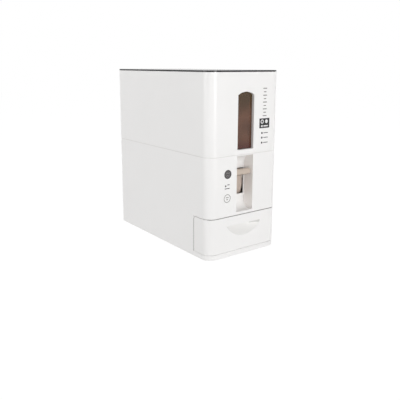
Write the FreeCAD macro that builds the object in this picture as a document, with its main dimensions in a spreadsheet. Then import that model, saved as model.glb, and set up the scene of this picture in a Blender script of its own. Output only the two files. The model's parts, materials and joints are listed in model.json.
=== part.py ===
"""Free-standing rice dispenser: a flip lid, a lift-out hopper, a lever-worked measuring gate and a drawer.

Millimetres. The origin is the middle of the footprint on the floor, +Z is up and the front faces -Y.
Every size lives once in the sheet; each sub-part is an object whose sizes are bound to those cells.
"""

import FreeCAD, Part
import math
import os
from types import SimpleNamespace

import Sketcher

SIZES = (
    # whole body
    ("body_width", 195.0),
    ("body_depth", 385.0),
    ("body_height", 395.0),
    ("corner_radius", 22.0),
    ("wall", 2.5),
    ("skirt_gap", 1.0),
    ("seam_height", 220.5),
    ("seam_chamfer", 0.6),
    ("seam_boss_inset", 5.5),
    ("seam_boss_spacing", 125.0),
    ("seam_boss_height", 16.0),
    ("lap_depth", 5.0),
    ("lap_gap", 0.15),
    # lid and hinge
    ("lid_thickness", 3.2),
    ("lid_gap", 0.3),
    ("lid_edge", 0.6),
    ("liner_thickness", 2.6),
    ("liner_inset", 1.4),
    ("seal_height", 2.4),
    ("seal_width", 4.0),
    ("seal_gap", 0.4),
    ("barrel_radius", 3.0),
    ("hinge_inset", 6.0),
    ("hinge_pin_radius", 1.5),
    ("running_clearance", 0.05),
    ("barrel_length", 33.0),
    ("barrel_inset", 25.5),
    ("ear_width", 5.0),
    ("ear_gap", 0.4),
    ("ridge_chamfer", 1.5),
    # hopper
    ("tub_wall", 2.2),
    ("tub_side_gap", 3.5),
    ("tub_back_gap", 12.0),
    ("tub_corner", 14.0),
    ("flange_thickness", 2.0),
    ("flange_drop", 3.0),
    ("flange_gap", 0.4),
    ("ledge_thickness", 2.5),
    ("ledge_width", 3.2),
    ("back_slope", 22.0),
    ("front_slope", 20.0),
    ("side_slope", 30.0),
    # sight window
    ("window_width", 44.0),
    ("window_bottom", 231.0),
    ("window_spring", 345.0),
    ("window_rise", 6.5),
    ("window_reveal", 6.5),
    ("reveal_wall", 2.0),
    ("pane_thickness", 2.0),
    ("pane_lap", 5.0),
    ("sight_margin", 2.0),
    # lever recess
    ("recess_width", 45.0),
    ("recess_bottom", 97.0),
    ("recess_top", 218.0),
    ("recess_depth", 28.0),
    ("recess_top_radius", 20.0),
    ("recess_foot_radius", 18.0),
    ("recess_wall", 2.0),
    ("slot_width", 41.0),
    ("slot_bottom", 128.0),
    ("slot_top", 186.0),
    # drawer opening, sill and base
    ("sill_height", 12.0),
    ("sill_thickness", 2.0),
    ("sill_width", 6.0),
    ("bay_height", 91.0),
    ("bay_side", 51.5),
    ("bay_corner", 9.0),
    ("base_thickness", 2.5),
    ("base_gap", 0.3),
    ("guide_wall", 2.0),
    ("guide_inset", 0.5),
    ("guide_front", 20.0),
    ("guide_back", 210.5),
    ("runner_width", 4.0),
    ("runner_height", 3.1),
    ("runner_spacing", 120.0),
    ("foot_radius", 8.0),
    ("foot_thickness", 3.0),
    ("foot_inset", 24.0),
    ("deck_thickness", 2.5),
    ("deck_gap", 0.3),
    ("deck_post_front", -120.0),
    ("deck_post_back", 0.0),
    ("deck_post_height", 20.0),
    # drawer
    ("drawer_gap", 1.2),
    ("drawer_foot_gap", 0.6),
    ("drawer_wall", 2.5),
    ("pull_width", 98.0),
    ("pull_bottom", 43.0),
    ("pull_top", 69.5),
    ("pull_depth", 13.5),
    ("pull_wall", 2.2),
    ("tray_setback", 17.5),
    ("tray_length", 187.0),
    ("tray_height", 72.0),
    ("tray_wall", 2.0),
    ("tray_gap", 0.5),
    ("tray_lift", 0.3),
    ("tray_corner", 10.0),
    ("tray_floor_radius", 5.0),
    # measuring mechanism
    ("pivot_setback", 92.5),
    ("pivot_height", 153.0),
    ("gate_radius", 40.5),
    ("gate_thickness", 2.0),
    ("gate_gap", 0.5),
    ("mouth_angle", 22.0),
    ("gate_lap_angle", 2.0),
    ("stroke_angle", 26.0),
    ("chamber_width", 72.0),
    ("chamber_wall", 2.0),
    ("chamber_half_depth", 26.0),
    ("chamber_shoulder", 18.0),
    ("tongue_width", 24.0),
    ("tongue_height", 16.0),
    ("cheek_gap", 1.0),
    ("cheek_thickness", 2.0),
    ("hub_radius", 8.0),
    ("pivot_pin_radius", 3.0),
    ("pin_head_radius", 5.0),
    ("pin_head_thickness", 1.5),
    ("bracket_gap", 2.5),
    ("bracket_wall", 2.5),
    ("bracket_back", 60.5),
    ("bracket_front", 24.0),
    ("bracket_foot", 9.0),
    ("bracket_crown", 14.0),
    ("flange_half_width", 22.0),
    ("flange_half_height", 13.0),
    ("chamber_screw_offset", 17.0),
    ("chute_wall", 2.0),
    ("chute_half_depth", 11.0),
    ("chute_foot", 4.0),
    ("spout_drop", 4.0),
    # lever
    ("shield_radius", 62.0),
    ("shield_thickness", 2.0),
    ("shield_width", 36.0),
    ("shield_margin", 1.2),
    ("slot_lead", 5.0),
    ("lever_angle", 19.0),
    ("knob_reach", 92.0),
    ("knob_depth", 18.0),
    ("knob_width", 43.4),
    ("knob_height", 13.5),
    ("knob_round", 5.0),
    ("stem_width", 34.0),
    ("stem_height", 9.0),
    ("crossbar_thickness", 4.0),
    ("crossbar_angle", 24.0),
    # return spring
    ("spring_radius", 4.2),
    ("spring_wire", 0.6),
    ("spring_turns", 9.0),
    ("spring_side", 35.0),
    ("spring_reach", 50.5),
    ("spring_angle", 13.0),
    ("lug_thickness", 4.0),
    ("peg_radius", 2.6),
    ("peg_height", 5.0),
    # fasteners
    ("screw_radius", 1.5),
    ("screw_head_radius", 2.8),
    ("screw_head_height", 1.8),
    ("boss_radius", 4.5),
    ("boss_bite", 0.5),
)


class Size:
    """A number together with the sheet formula that gives it."""

    def __init__(self, value, formula):
        self.value = float(value)
        self.formula = formula

    def __add__(self, other):
        other = as_size(other)
        return Size(self.value + other.value, f"({self.formula} + {other.formula})")

    def __sub__(self, other):
        other = as_size(other)
        return Size(self.value - other.value, f"({self.formula} - {other.formula})")

    def __mul__(self, other):
        other = as_size(other)
        return Size(self.value * other.value, f"({self.formula} * {other.formula})")

    def __truediv__(self, other):
        other = as_size(other)
        return Size(self.value / other.value, f"({self.formula} / {other.formula})")

    def __radd__(self, other):
        return as_size(other) + self

    def __rsub__(self, other):
        return as_size(other) - self

    def __rmul__(self, other):
        return as_size(other) * self

    def __neg__(self):
        return Size(-self.value, f"(0 - {self.formula})")


def as_size(number):
    """Lets a plain number stand where a Size is expected."""
    if isinstance(number, Size):
        return number
    return Size(number, f"({float(number)!r})")


def root(size):
    return Size(math.sqrt(size.value), f"sqrt({size.formula})")


def sine(angle):
    angle = as_size(angle)
    return Size(math.sin(math.radians(angle.value)), f"sin({angle.formula} * 1 deg)")


def cosine(angle):
    angle = as_size(angle)
    return Size(math.cos(math.radians(angle.value)), f"cos({angle.formula} * 1 deg)")


def tangent(angle):
    return sine(angle) / cosine(angle)


def side_of(radius, offset):
    """The other leg of a right triangle: how high a circle stands at an offset from its middle."""
    return root(radius * radius - offset * offset)


doc = FreeCAD.newDocument("rice_dispenser")


def make_sheet():
    """Writes the sizes into the sheet and returns them by name."""
    sheet = doc.addObject("Spreadsheet::Sheet", "Sizes")
    named = {}
    for row, (name, value) in enumerate(SIZES, 1):
        sheet.set(f"A{row}", name.replace("_", " "))
        sheet.set(f"B{row}", str(value))
        sheet.setAlias(f"B{row}", name)
        named[name] = Size(value, f"Sizes.{name}")
    doc.recompute()
    return SimpleNamespace(**named)


s = make_sheet()

# Shared faces and levels
half_width = s.body_width / 2
front = 0 - s.body_depth / 2
back = s.body_depth / 2
inner_half = half_width - s.wall
inner_front = front + s.wall
inner_back = back - s.wall
inner_corner = s.corner_radius - s.wall
rim = s.body_height - s.lid_thickness - s.lid_gap
lap_foot = s.seam_height - s.lap_depth
hinge_y = back - s.hinge_inset
hinge_z = s.body_height - s.barrel_radius
hinge_bore = s.hinge_pin_radius + s.running_clearance
ear_offset = (s.barrel_length + s.ear_width) / 2 + s.ear_gap
barrel_centre = half_width - s.corner_radius - s.barrel_inset

# Hopper
tub_half = inner_half - s.tub_side_gap
tub_front = front + s.window_reveal + s.pane_thickness
tub_back = inner_back - s.tub_back_gap
flange_top = rim - s.flange_drop
flange_foot = flange_top - s.flange_thickness

# Base, deck and drawer
base_top = s.sill_height - s.sill_thickness
base_foot = base_top - s.base_thickness
deck_foot = s.bay_height + s.deck_gap
deck_top = deck_foot + s.deck_thickness
bay_back = front + s.bay_side
guide_outer = inner_half - s.guide_inset
guide_inner = guide_outer - s.guide_wall
guide_start = front + s.guide_front
guide_end = front + s.guide_back
drawer_foot = s.sill_height + s.drawer_foot_gap
drawer_top = s.bay_height - s.drawer_gap
tray_half = guide_inner - s.tray_gap
tray_front = front + s.tray_setback
tray_foot = base_top + s.runner_height + s.tray_lift
corner_reach = (inner_corner - s.boss_radius + s.boss_bite) * cosine(45)
corner_boss_x = half_width - s.corner_radius + corner_reach
corner_boss_y = back - s.corner_radius + corner_reach
side_boss_x = inner_half - s.boss_radius + s.boss_bite
seam_boss_back = back - s.corner_radius - s.seam_boss_inset
seam_boss_ys = (seam_boss_back - s.seam_boss_spacing, seam_boss_back)
pilot = s.screw_radius

# Measuring mechanism, all about one pivot
pivot_y = front + s.pivot_setback
pivot_z = s.pivot_height
gate_outer = s.gate_radius + s.gate_thickness
mouth_radius = s.gate_radius - s.gate_gap
lip_radius = gate_outer + s.gate_gap
mouth_half = mouth_radius * sine(s.mouth_angle / 2)
chamber_half = s.chamber_width / 2
chamber_outer = chamber_half + s.chamber_wall
cheek_inner = chamber_outer + s.cheek_gap
cheek_outer = cheek_inner + s.cheek_thickness
bracket_inner = cheek_outer + s.bracket_gap
bracket_outer = bracket_inner + s.bracket_wall
bracket_end = pivot_y + s.bracket_back
bracket_face = bracket_end - s.bracket_wall
lever_heading = 180 - s.lever_angle
shield_inner = s.shield_radius - s.shield_thickness
hopper_floor = pivot_z + lip_radius
spring_y = pivot_y + s.spring_reach * cosine(s.spring_angle)
lug_foot = pivot_z - s.spring_reach * sine(s.spring_angle)


# ------------------------------------------------------------------ drawing helpers


def bind(target, path, size):
    """Ties one property of an object to the sheet."""
    target.setExpression(path, as_size(size).formula)


def corner(across, up):
    """A corner of an outline, left along a straight side."""
    return as_size(across), as_size(up), None, 0


def bend(across, up, radius, turn=1):
    """A corner of an outline, left along an arc: turn 1 is anticlockwise, -1 clockwise."""
    return as_size(across), as_size(up), as_size(radius), turn


def about_pivot(radius, angle, rise=0):
    """Across and up of a point at a radius and angle about the pivot, raised square to that radius."""
    across = pivot_y + radius * cosine(angle) - as_size(rise) * sine(angle)
    up = pivot_z + radius * sine(angle) + as_size(rise) * cosine(angle)
    return across, up


def rounded_box(left, right, low, high, radius):
    """A rectangle with four equal round corners, anticlockwise."""
    return [
        corner(left + radius, low),
        bend(right - radius, low, radius),
        corner(right, low + radius),
        bend(right, high - radius, radius),
        corner(right - radius, high),
        bend(left + radius, high, radius),
        corner(left, high - radius),
        bend(left, low + radius, radius),
    ]


def square_box(left, right, low, high):
    return [corner(left, low), corner(right, low), corner(right, high), corner(left, high)]


def body_outline(inset):
    """The plan outline of the body, moved inwards."""
    side = half_width - inset
    return rounded_box(-side, side, front + inset, back - inset, s.corner_radius - inset)


def tub_outline(inset):
    """The plan outline of the hopper tub, moved inwards."""
    side = tub_half - inset
    return rounded_box(-side, side, tub_front + inset, tub_back - inset, s.tub_corner - inset)


def window_outline(grow):
    """The arched sight window, moved outwards."""
    half = s.window_width / 2
    arch = (half * half + s.window_rise * s.window_rise) / (s.window_rise * 2)
    arch_centre = s.window_spring + s.window_rise - arch
    side = half + grow
    spring = arch_centre + side_of(arch + grow, side)
    foot = s.window_bottom - grow
    return [
        corner(-side, foot),
        corner(side, foot),
        bend(side, spring, arch + grow),
        corner(-side, spring),
    ]


def recess_outline(grow, lead):
    """The side profile of the lever recess, moved outwards and led out past the front face."""
    deep = front + s.recess_depth + grow
    low = s.recess_bottom - grow
    high = s.recess_top + grow
    foot_radius = s.recess_foot_radius + grow
    top_radius = s.recess_top_radius + grow
    return [
        corner(front - lead, low),
        bend(deep - foot_radius, low, foot_radius),
        corner(deep, low + foot_radius),
        bend(deep, high - top_radius, top_radius),
        corner(deep - top_radius, high),
        corner(front - lead, high),
    ]


def sector(low_radius, high_radius, start, end):
    """A ring sector about the pivot between two angles under a half turn apart."""
    return [
        corner(*about_pivot(low_radius, start)),
        bend(*about_pivot(high_radius, start), high_radius),
        corner(*about_pivot(high_radius, end)),
        bend(*about_pivot(low_radius, end), low_radius, -1),
    ]


def wedge(radius, *angles):
    """A fan of straight sides about the pivot, wider than the drum it cuts."""
    return [corner(pivot_y, pivot_z)] + [corner(*about_pivot(radius, angle)) for angle in angles]


def tilted_box(near, far, half_height):
    """A box that points from the pivot towards the resting knob."""
    spots = ((near, half_height), (near, -half_height), (far, -half_height), (far, half_height))
    return [corner(*about_pivot(reach, lever_heading, -rise)) for reach, rise in spots]


def arc_geometry(start, end, radius, turn):
    """The circle arc from start to end that bulges on the side its turn asks for."""
    chord = end - start
    height = math.sqrt(max(radius**2 - (chord.Length / 2) ** 2, 0.0))
    left = FreeCAD.Vector(-chord.y, chord.x, 0).normalize()
    centre = (start + end) * 0.5 + left * (height * turn)
    first, last = (start, end) if turn > 0 else (end, start)
    low = math.atan2(first.y - centre.y, first.x - centre.x)
    high = math.atan2(last.y - centre.y, last.x - centre.x)
    if high <= low:
        high += 2 * math.pi
    circle = Part.Circle(centre, FreeCAD.Vector(0, 0, 1), radius)
    return Part.ArcOfCircle(circle, low, high)


def place_point(sketch, index, end, across, up):
    """Fixes a point of a sketch by its two distances from the sketch's origin."""
    for kind, size in (("DistanceX", across), ("DistanceY", up)):
        number = sketch.addConstraint(Sketcher.Constraint(kind, -1, 1, index, end, size.value))
        bind(sketch, f"Constraints[{number}]", size)


def draw_loop(sketch, outline):
    """Draws one closed outline and ties every corner and radius to the sheet."""
    points = [FreeCAD.Vector(step[0].value, step[1].value, 0) for step in outline]
    starts, ends = [], []
    for place, (across, up, radius, turn) in enumerate(outline):
        start, end = points[place], points[(place + 1) % len(points)]
        if radius is None:
            index = sketch.addGeometry(Part.LineSegment(start, end), False)
        else:
            index = sketch.addGeometry(arc_geometry(start, end, radius.value, turn), False)
            number = sketch.addConstraint(Sketcher.Constraint("Radius", index, radius.value))
            bind(sketch, f"Constraints[{number}]", radius)
        flipped = turn < 0
        starts.append((index, 2 if flipped else 1))
        ends.append((index, 1 if flipped else 2))
        place_point(sketch, *starts[-1], across, up)
    for place, end in enumerate(ends):
        following = starts[(place + 1) % len(starts)]
        sketch.addConstraint(Sketcher.Constraint("Coincident", *end, *following))


def draw_circle(sketch, across, up, radius):
    """Draws one circle and ties its centre and radius to the sheet."""
    across, up, radius = as_size(across), as_size(up), as_size(radius)
    centre = FreeCAD.Vector(across.value, up.value, 0)
    circle = Part.Circle(centre, FreeCAD.Vector(0, 0, 1), radius.value)
    index = sketch.addGeometry(circle, False)
    place_point(sketch, index, 3, across, up)
    number = sketch.addConstraint(Sketcher.Constraint("Radius", index, radius.value))
    bind(sketch, f"Constraints[{number}]", radius)


def new_body(label):
    body = doc.addObject("PartDesign::Body", label)
    body.Label = label
    return body


def sketch_on(body, role, offset, loops=(), circles=()):
    """A sketch on one of the body's own origin planes, moved along that plane's normal."""
    sketch = body.newObject("Sketcher::SketchObject", f"{body.Name}_profile")
    plane = next(item for item in body.Origin.OriginFeatures if item.Role == role)
    sketch.AttachmentSupport = (plane, [""])
    sketch.MapMode = "FlatFace"
    bind(sketch, "AttachmentOffset.Base.z", offset)
    for outline in loops:
        draw_loop(sketch, outline)
    for circle in circles:
        draw_circle(sketch, *circle)
    return sketch


def extrude(kind, body, sketch, length, both_ways=False, reverse=False):
    """A Pad or Pocket of a sketch with a bound length."""
    feature = body.newObject(f"PartDesign::{kind}", f"{body.Name}_{kind.lower()}")
    feature.Profile = sketch
    bind(feature, "Length", length)
    feature.SideType = "Symmetric" if both_ways else "One side"
    feature.Reversed = reverse
    sketch.Visibility = False
    return feature


def pad_up(body, level, height, loops=(), circles=()):
    """Adds material upwards from a level."""
    return extrude("Pad", body, sketch_on(body, "XY_Plane", level, loops, circles), height)


def cut_down(body, level, depth, loops=(), circles=()):
    """Removes material downwards from a level."""
    return extrude("Pocket", body, sketch_on(body, "XY_Plane", level, loops, circles), depth)


def pad_across(body, width, loops=(), circles=(), middle=0):
    """Adds a side profile, half of the width to each side of a plane across the body."""
    sketch = sketch_on(body, "YZ_Plane", middle, loops, circles)
    return extrude("Pad", body, sketch, width, both_ways=True)


def cut_across(body, width, loops=(), circles=(), middle=0):
    """Removes a side profile, half of the width to each side of a plane across the body."""
    sketch = sketch_on(body, "YZ_Plane", middle, loops, circles)
    return extrude("Pocket", body, sketch, width, both_ways=True)


def pad_back(body, face, depth, loops=(), circles=()):
    """Adds a front profile backwards from an upright face."""
    sketch = sketch_on(body, "XZ_Plane", -as_size(face), loops, circles)
    return extrude("Pad", body, sketch, depth, reverse=True)


def cut_back(body, face, depth, loops=(), circles=()):
    """Removes a front profile backwards from an upright face."""
    sketch = sketch_on(body, "XZ_Plane", -as_size(face), loops, circles)
    return extrude("Pocket", body, sketch, depth)


def edges_where(feature, test):
    """Names of the edges whose every sample point passes a test."""
    doc.recompute()
    names = []
    for number, edge in enumerate(feature.Shape.Edges, 1):
        samples = edge.discretize(5)
        if all(test(point) for point in samples):
            names.append(f"Edge{number}")
    return names


def finish_edges(kind, body, test, size):
    """A Fillet or Chamfer on the edges of the body's tip that pass a test."""
    base = body.Tip
    names = edges_where(base, test)
    if not names:
        raise RuntimeError(f"{body.Label}: no edge for a {kind}")
    feature = body.newObject(f"PartDesign::{kind}", f"{body.Name}_{kind.lower()}")
    feature.Base = (base, names)
    bind(feature, "Radius" if kind == "Fillet" else "Size", size)
    return feature


def near(value, size):
    return abs(value - as_size(size).value) < 0.001


def on_body_outline(point):
    """Whether a point lies on the upright outer faces of the body."""
    arm_x = max(abs(point.x) - (half_width - s.corner_radius).value, 0.0)
    arm_y = max(abs(point.y) - (back - s.corner_radius).value, 0.0)
    return near(math.hypot(arm_x, arm_y), s.corner_radius)


def mirrored(across, ups):
    """Points at both sides of the body for each of some second coordinates."""
    return [(side * across, up) for side in (-1, 1) for up in ups]


def boss_rings(spots, radius, bore):
    """Circles for round bosses with a bore each."""
    circles = []
    for across, up in spots:
        circles.append((across, up, radius))
        circles.append((across, up, bore))
    return circles


def cylinder(name, radius, height, base, axis=(0, 0, 1)):
    """A Part cylinder from a bound base point along a fixed direction."""
    shape = doc.addObject("Part::Cylinder", name)
    bind(shape, "Radius", radius)
    bind(shape, "Height", height)
    turn = FreeCAD.Rotation(FreeCAD.Vector(0, 0, 1), FreeCAD.Vector(*axis))
    shape.Placement = FreeCAD.Placement(FreeCAD.Vector(), turn)
    for letter, size in zip("xyz", base):
        bind(shape, f"Placement.Base.{letter}", size)
    return shape


def screw(name, seat, axis, length):
    """A pan-head screw: its head stands on the seat and its shank runs along the axis."""
    seat = [as_size(size) for size in seat]
    under = [size - direction * s.screw_head_height for size, direction in zip(seat, axis)]
    head = cylinder(f"{name}_head", s.screw_head_radius, s.screw_head_height, under, axis)
    shank = cylinder(f"{name}_shank", s.screw_radius, length, seat, axis)
    joined = doc.addObject("Part::Fuse", name)
    joined.Base = head
    joined.Tool = shank
    return joined


def group(label, pieces):
    """Identical pieces that share one node as separate solids."""
    compound = doc.addObject("Part::Compound", label)
    compound.Label = label
    compound.Links = pieces
    return compound


# ------------------------------------------------------------------ housings


def make_lower_housing():
    """The lower shell, with the lever recess, the drawer bay, the sill and its bosses."""
    body = new_body("lower_housing")
    shell = [body_outline(0), body_outline(s.wall)]
    pad_up(body, s.skirt_gap, s.seam_height - s.skirt_gap, shell)

    rabbet = [body_outline(s.wall), body_outline(s.wall / 2 - s.lap_gap)]
    cut_down(body, s.seam_height, s.lap_depth, rabbet)

    liner_width = s.recess_width + s.recess_wall * 2
    pad_across(body, liner_width, [recess_outline(s.recess_wall, 0)])
    cut_across(body, s.recess_width, [recess_outline(0, s.wall)])

    slot_half = s.slot_width / 2
    slot = square_box(-slot_half, slot_half, s.slot_bottom, s.slot_top)
    cut_back(body, front, s.recess_depth + s.recess_wall * 2, [slot])

    bay = [
        corner(front - s.wall, s.sill_height),
        corner(bay_back, s.sill_height),
        bend(bay_back, s.bay_height - s.bay_corner, s.bay_corner),
        corner(bay_back - s.bay_corner, s.bay_height),
        corner(front - s.wall, s.bay_height),
    ]
    cut_across(body, s.body_width + s.wall * 2, [bay])

    sill = [body_outline(s.wall), body_outline(s.wall + s.sill_width)]
    pad_up(body, base_top, s.sill_thickness, sill)
    reach = inner_half - s.sill_width - s.sill_thickness
    channels = [
        square_box(-inner_half, -reach, guide_start - s.guide_wall, guide_end + s.guide_wall),
        square_box(reach, inner_half, guide_start - s.guide_wall, guide_end + s.guide_wall),
    ]
    cut_down(body, s.sill_height, s.sill_thickness, channels)

    corners = mirrored(corner_boss_x, (-corner_boss_y, corner_boss_y))
    gussets = [(across, up, s.boss_radius) for across, up in corners]
    pad_up(body, base_top, s.sill_thickness, circles=gussets)
    pilots = [(across, up, pilot) for across, up in corners]
    cut_down(body, s.sill_height, s.sill_thickness, circles=pilots)

    posts = mirrored(side_boss_x, (s.deck_post_front, s.deck_post_back))
    post_rings = boss_rings(posts, s.boss_radius, s.boss_radius / 2)
    pad_up(body, deck_top, s.deck_post_height, circles=post_rings)

    seam_spots = mirrored(side_boss_x, seam_boss_ys)
    seam_rings = boss_rings(seam_spots, s.boss_radius, pilot)
    pad_up(body, lap_foot - s.seam_boss_height, s.seam_boss_height, circles=seam_rings)

    finish_edges(
        "Chamfer",
        body,
        lambda point: near(point.z, s.seam_height) and on_body_outline(point),
        s.seam_chamfer,
    )


def make_upper_housing():
    """The upper shell, with the seam tongue, the hopper ledge, the window reveal and the hinge ears."""
    body = new_body("upper_housing")
    shell = [body_outline(0), body_outline(s.wall)]
    pad_up(body, s.seam_height, s.body_height - s.seam_height, shell)
    side = half_width + s.wall
    rim_box = square_box(-side, side, front - s.wall, inner_back)
    cut_down(body, s.body_height, s.body_height - rim, [rim_box])
    finish_edges(
        "Chamfer",
        body,
        lambda point: near(point.z, s.body_height) and near(point.y, inner_back),
        s.ridge_chamfer,
    )
    finish_edges(
        "Chamfer",
        body,
        lambda point: near(point.z, s.seam_height) and on_body_outline(point),
        s.seam_chamfer,
    )

    tongue = [body_outline(s.wall / 2), body_outline(s.wall)]
    pad_up(body, lap_foot, s.lap_depth, tongue)
    liner_half = s.recess_width / 2 + s.recess_wall + s.lap_gap
    liner_relief = square_box(-liner_half, liner_half, front, inner_front + s.wall)
    cut_down(body, s.seam_height, s.lap_depth, [liner_relief])

    ledge = [body_outline(s.wall), body_outline(s.wall + s.ledge_width)]
    pad_up(body, flange_foot - s.ledge_thickness, s.ledge_thickness, ledge)

    pad_back(body, front, s.window_reveal, [window_outline(s.reveal_wall)])
    cut_back(body, front, s.window_reveal, [window_outline(0)])

    ear = [
        corner(hinge_y, hinge_z - s.barrel_radius),
        corner(back - s.wall / 2, hinge_z - s.barrel_radius),
        corner(back - s.wall / 2, hinge_z),
        corner(inner_back, hinge_z + s.barrel_radius),
        bend(hinge_y, hinge_z + s.barrel_radius, s.barrel_radius),
        bend(hinge_y - s.barrel_radius, hinge_z, s.barrel_radius),
    ]
    for side in (-1, 1):
        for end in (-1, 1):
            middle = side * (barrel_centre + end * ear_offset)
            pad_across(body, s.ear_width, [ear], middle=middle)
    bore = [(hinge_y, hinge_z, s.hinge_pin_radius)]
    cut_across(body, s.body_width - s.corner_radius * 2, circles=bore)

    seam_spots = mirrored(side_boss_x, seam_boss_ys)
    seam_rings = boss_rings(seam_spots, s.boss_radius, pilot)
    pad_up(body, lap_foot, s.seam_boss_height, circles=seam_rings)


def make_hopper():
    """The lift-out tub: its floor falls from all four sides to a spout above the gate."""
    body = new_body("hopper")
    pad_up(body, hopper_floor, flange_top - hopper_floor, [tub_outline(0)])
    below = hopper_floor - s.tub_wall
    mouth_front = pivot_y - mouth_half - s.tub_wall
    mouth_back = pivot_y + mouth_half + s.tub_wall
    far_front = tub_front - s.tub_wall
    far_back = tub_back + s.tub_wall
    far_side = tub_half + s.tub_wall
    front_rise = hopper_floor + (mouth_front - far_front) * tangent(s.front_slope)
    back_rise = hopper_floor + (far_back - mouth_back) * tangent(s.back_slope)
    side_rise = hopper_floor + (far_side - chamber_outer) * tangent(s.side_slope)
    front_wedge = [
        corner(far_front, below),
        corner(mouth_front, below),
        corner(mouth_front, hopper_floor),
        corner(far_front, front_rise),
    ]
    back_wedge = [
        corner(mouth_back, below),
        corner(far_back, below),
        corner(far_back, back_rise),
        corner(mouth_back, hopper_floor),
    ]
    cut_across(body, s.body_width, [front_wedge, back_wedge])
    side_wedges = []
    for side in (-1, 1):
        side_wedges.append(
            [
                corner(side * chamber_outer, below),
                corner(side * far_side, below),
                corner(side * far_side, side_rise),
                corner(side * chamber_outer, hopper_floor),
            ]
        )
    cut_back(body, front, s.body_depth, side_wedges)

    doc.recompute()
    block = body.Tip
    top_faces = [
        f"Face{number}"
        for number, face in enumerate(block.Shape.Faces, 1)
        if near(face.CenterOfMass.z, flange_top)
    ]
    shelled = body.newObject("PartDesign::Thickness", "hopper_shell")
    shelled.Base = (block, top_faces)
    bind(shelled, "Value", s.tub_wall)
    shelled.Reversed = True
    shelled.Join = "Intersection"

    flange = [body_outline(s.wall + s.flange_gap), tub_outline(s.tub_wall)]
    pad_up(body, flange_foot, s.flange_thickness, flange)

    spout_depth = mouth_half + s.tub_wall
    spout = square_box(-chamber_outer, chamber_outer, pivot_y - spout_depth, pivot_y + spout_depth)
    pad_up(body, hopper_floor - s.spout_drop, s.spout_drop + s.tub_wall, [spout])
    cut_across(body, chamber_outer * 4, circles=[(pivot_y, pivot_z, lip_radius)])
    mouth = square_box(-chamber_half, chamber_half, pivot_y - mouth_half, pivot_y + mouth_half)
    cut_down(body, hopper_floor + s.tub_wall * 2, s.tub_wall * 3 + s.spout_drop, [mouth])
    cut_back(body, tub_front, s.tub_wall, [window_outline(s.sight_margin)])


def make_window_pane():
    """The clear pane held between the window reveal and the hopper's front wall."""
    body = new_body("window_pane")
    pad_back(body, front + s.window_reveal, s.pane_thickness, [window_outline(s.pane_lap)])


# ------------------------------------------------------------------ base and drawer


def make_base_frame():
    """The floor of the body, with the drawer guides, runners and foot pads."""
    body = new_body("base_frame")
    pad_up(body, base_foot, s.base_thickness, [body_outline(s.wall + s.base_gap)])
    height = deck_foot - base_top
    guides = [
        corner(-guide_outer, guide_start),
        corner(-guide_inner, guide_start),
        corner(-guide_inner, guide_end - s.guide_wall),
        corner(guide_inner, guide_end - s.guide_wall),
        corner(guide_inner, guide_start),
        corner(guide_outer, guide_start),
        corner(guide_outer, guide_end),
        corner(-guide_outer, guide_end),
    ]
    pad_up(body, base_top, height, [guides])
    runners = []
    for side in (-1, 1):
        middle = side * s.runner_spacing / 2
        left = middle - s.runner_width / 2
        right = middle + s.runner_width / 2
        runners.append(square_box(left, right, guide_start, guide_end - s.guide_wall))
    pad_up(body, base_top, s.runner_height, runners)
    pads = [(across, up, s.foot_radius + s.wall) for across, up in foot_spots()]
    pad_up(body, s.foot_thickness, base_foot - s.foot_thickness, circles=pads)
    corners = mirrored(corner_boss_x, (-corner_boss_y, corner_boss_y))
    holes = [(across, up, pilot) for across, up in corners]
    cut_down(body, base_top, s.base_thickness, circles=holes)


def foot_spots():
    across = half_width - s.foot_inset
    along = back - s.foot_inset
    return mirrored(across, (-along, along))


def make_rubber_feet():
    feet = []
    for number, (across, up) in enumerate(foot_spots(), 1):
        base = (across, up, as_size(0))
        feet.append(cylinder(f"foot_{number}", s.foot_radius, s.foot_thickness, base))
    group("rubber_feet", feet)


def bracket_screw_spots():
    across = bracket_outer + s.bracket_foot / 2
    return mirrored(across, (pivot_y - s.bracket_front + s.boss_radius, bracket_end - s.boss_radius))


def make_mid_deck():
    """The shelf over the drawer that carries the mechanism and the spring's lower peg."""
    body = new_body("mid_deck")
    side = inner_half - s.deck_gap
    low = inner_front + s.deck_gap
    radius = inner_corner - s.deck_gap
    deck = [
        bend(-side, low + radius, radius),
        corner(-side + radius, low),
        bend(side - radius, low, radius),
        corner(side, low + radius),
        corner(side, guide_end),
        corner(-side, guide_end),
    ]
    depth = s.chute_half_depth
    hole = square_box(-chamber_half, chamber_half, pivot_y - depth, pivot_y + depth)
    screws = [(across, up, pilot) for across, up in bracket_screw_spots()]
    pad_up(body, deck_foot, s.deck_thickness, [deck, hole], screws)
    peg = [(s.spring_side, spring_y, s.peg_radius)]
    pad_up(body, deck_top, s.peg_height, circles=peg)


def pull_ball(name, grow):
    """Part of a ball whose cap is the finger pull, cut level with the pull's top edge."""
    half = s.pull_width / 2
    drop = s.pull_top - s.pull_bottom
    rim_radius = (half * half + drop * drop) / (drop * 2)
    rise = rim_radius - drop
    cap = s.pull_depth
    stand = (rim_radius * rim_radius - rise * rise - cap * cap) / (cap * 2)
    radius = root(rim_radius * rim_radius + stand * stand)
    ball = doc.addObject("Part::Sphere", f"{name}_ball")
    bind(ball, "Radius", radius + grow)
    bind(ball, "Placement.Base.y", front - stand)
    bind(ball, "Placement.Base.z", s.pull_bottom + rim_radius)
    box = doc.addObject("Part::Box", f"{name}_box")
    width = s.pull_width + s.pull_wall * 4
    bind(box, "Length", width)
    bind(box, "Width", s.pull_depth * 2)
    bind(box, "Height", drop + s.pull_wall * 2 + grow)
    bind(box, "Placement.Base.x", -width / 2)
    bind(box, "Placement.Base.y", front - (s.pull_wall - grow))
    bind(box, "Placement.Base.z", s.pull_bottom - s.pull_wall * 2)
    common = doc.addObject("Part::Common", name)
    common.Base = ball
    common.Tool = box
    return common


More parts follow.
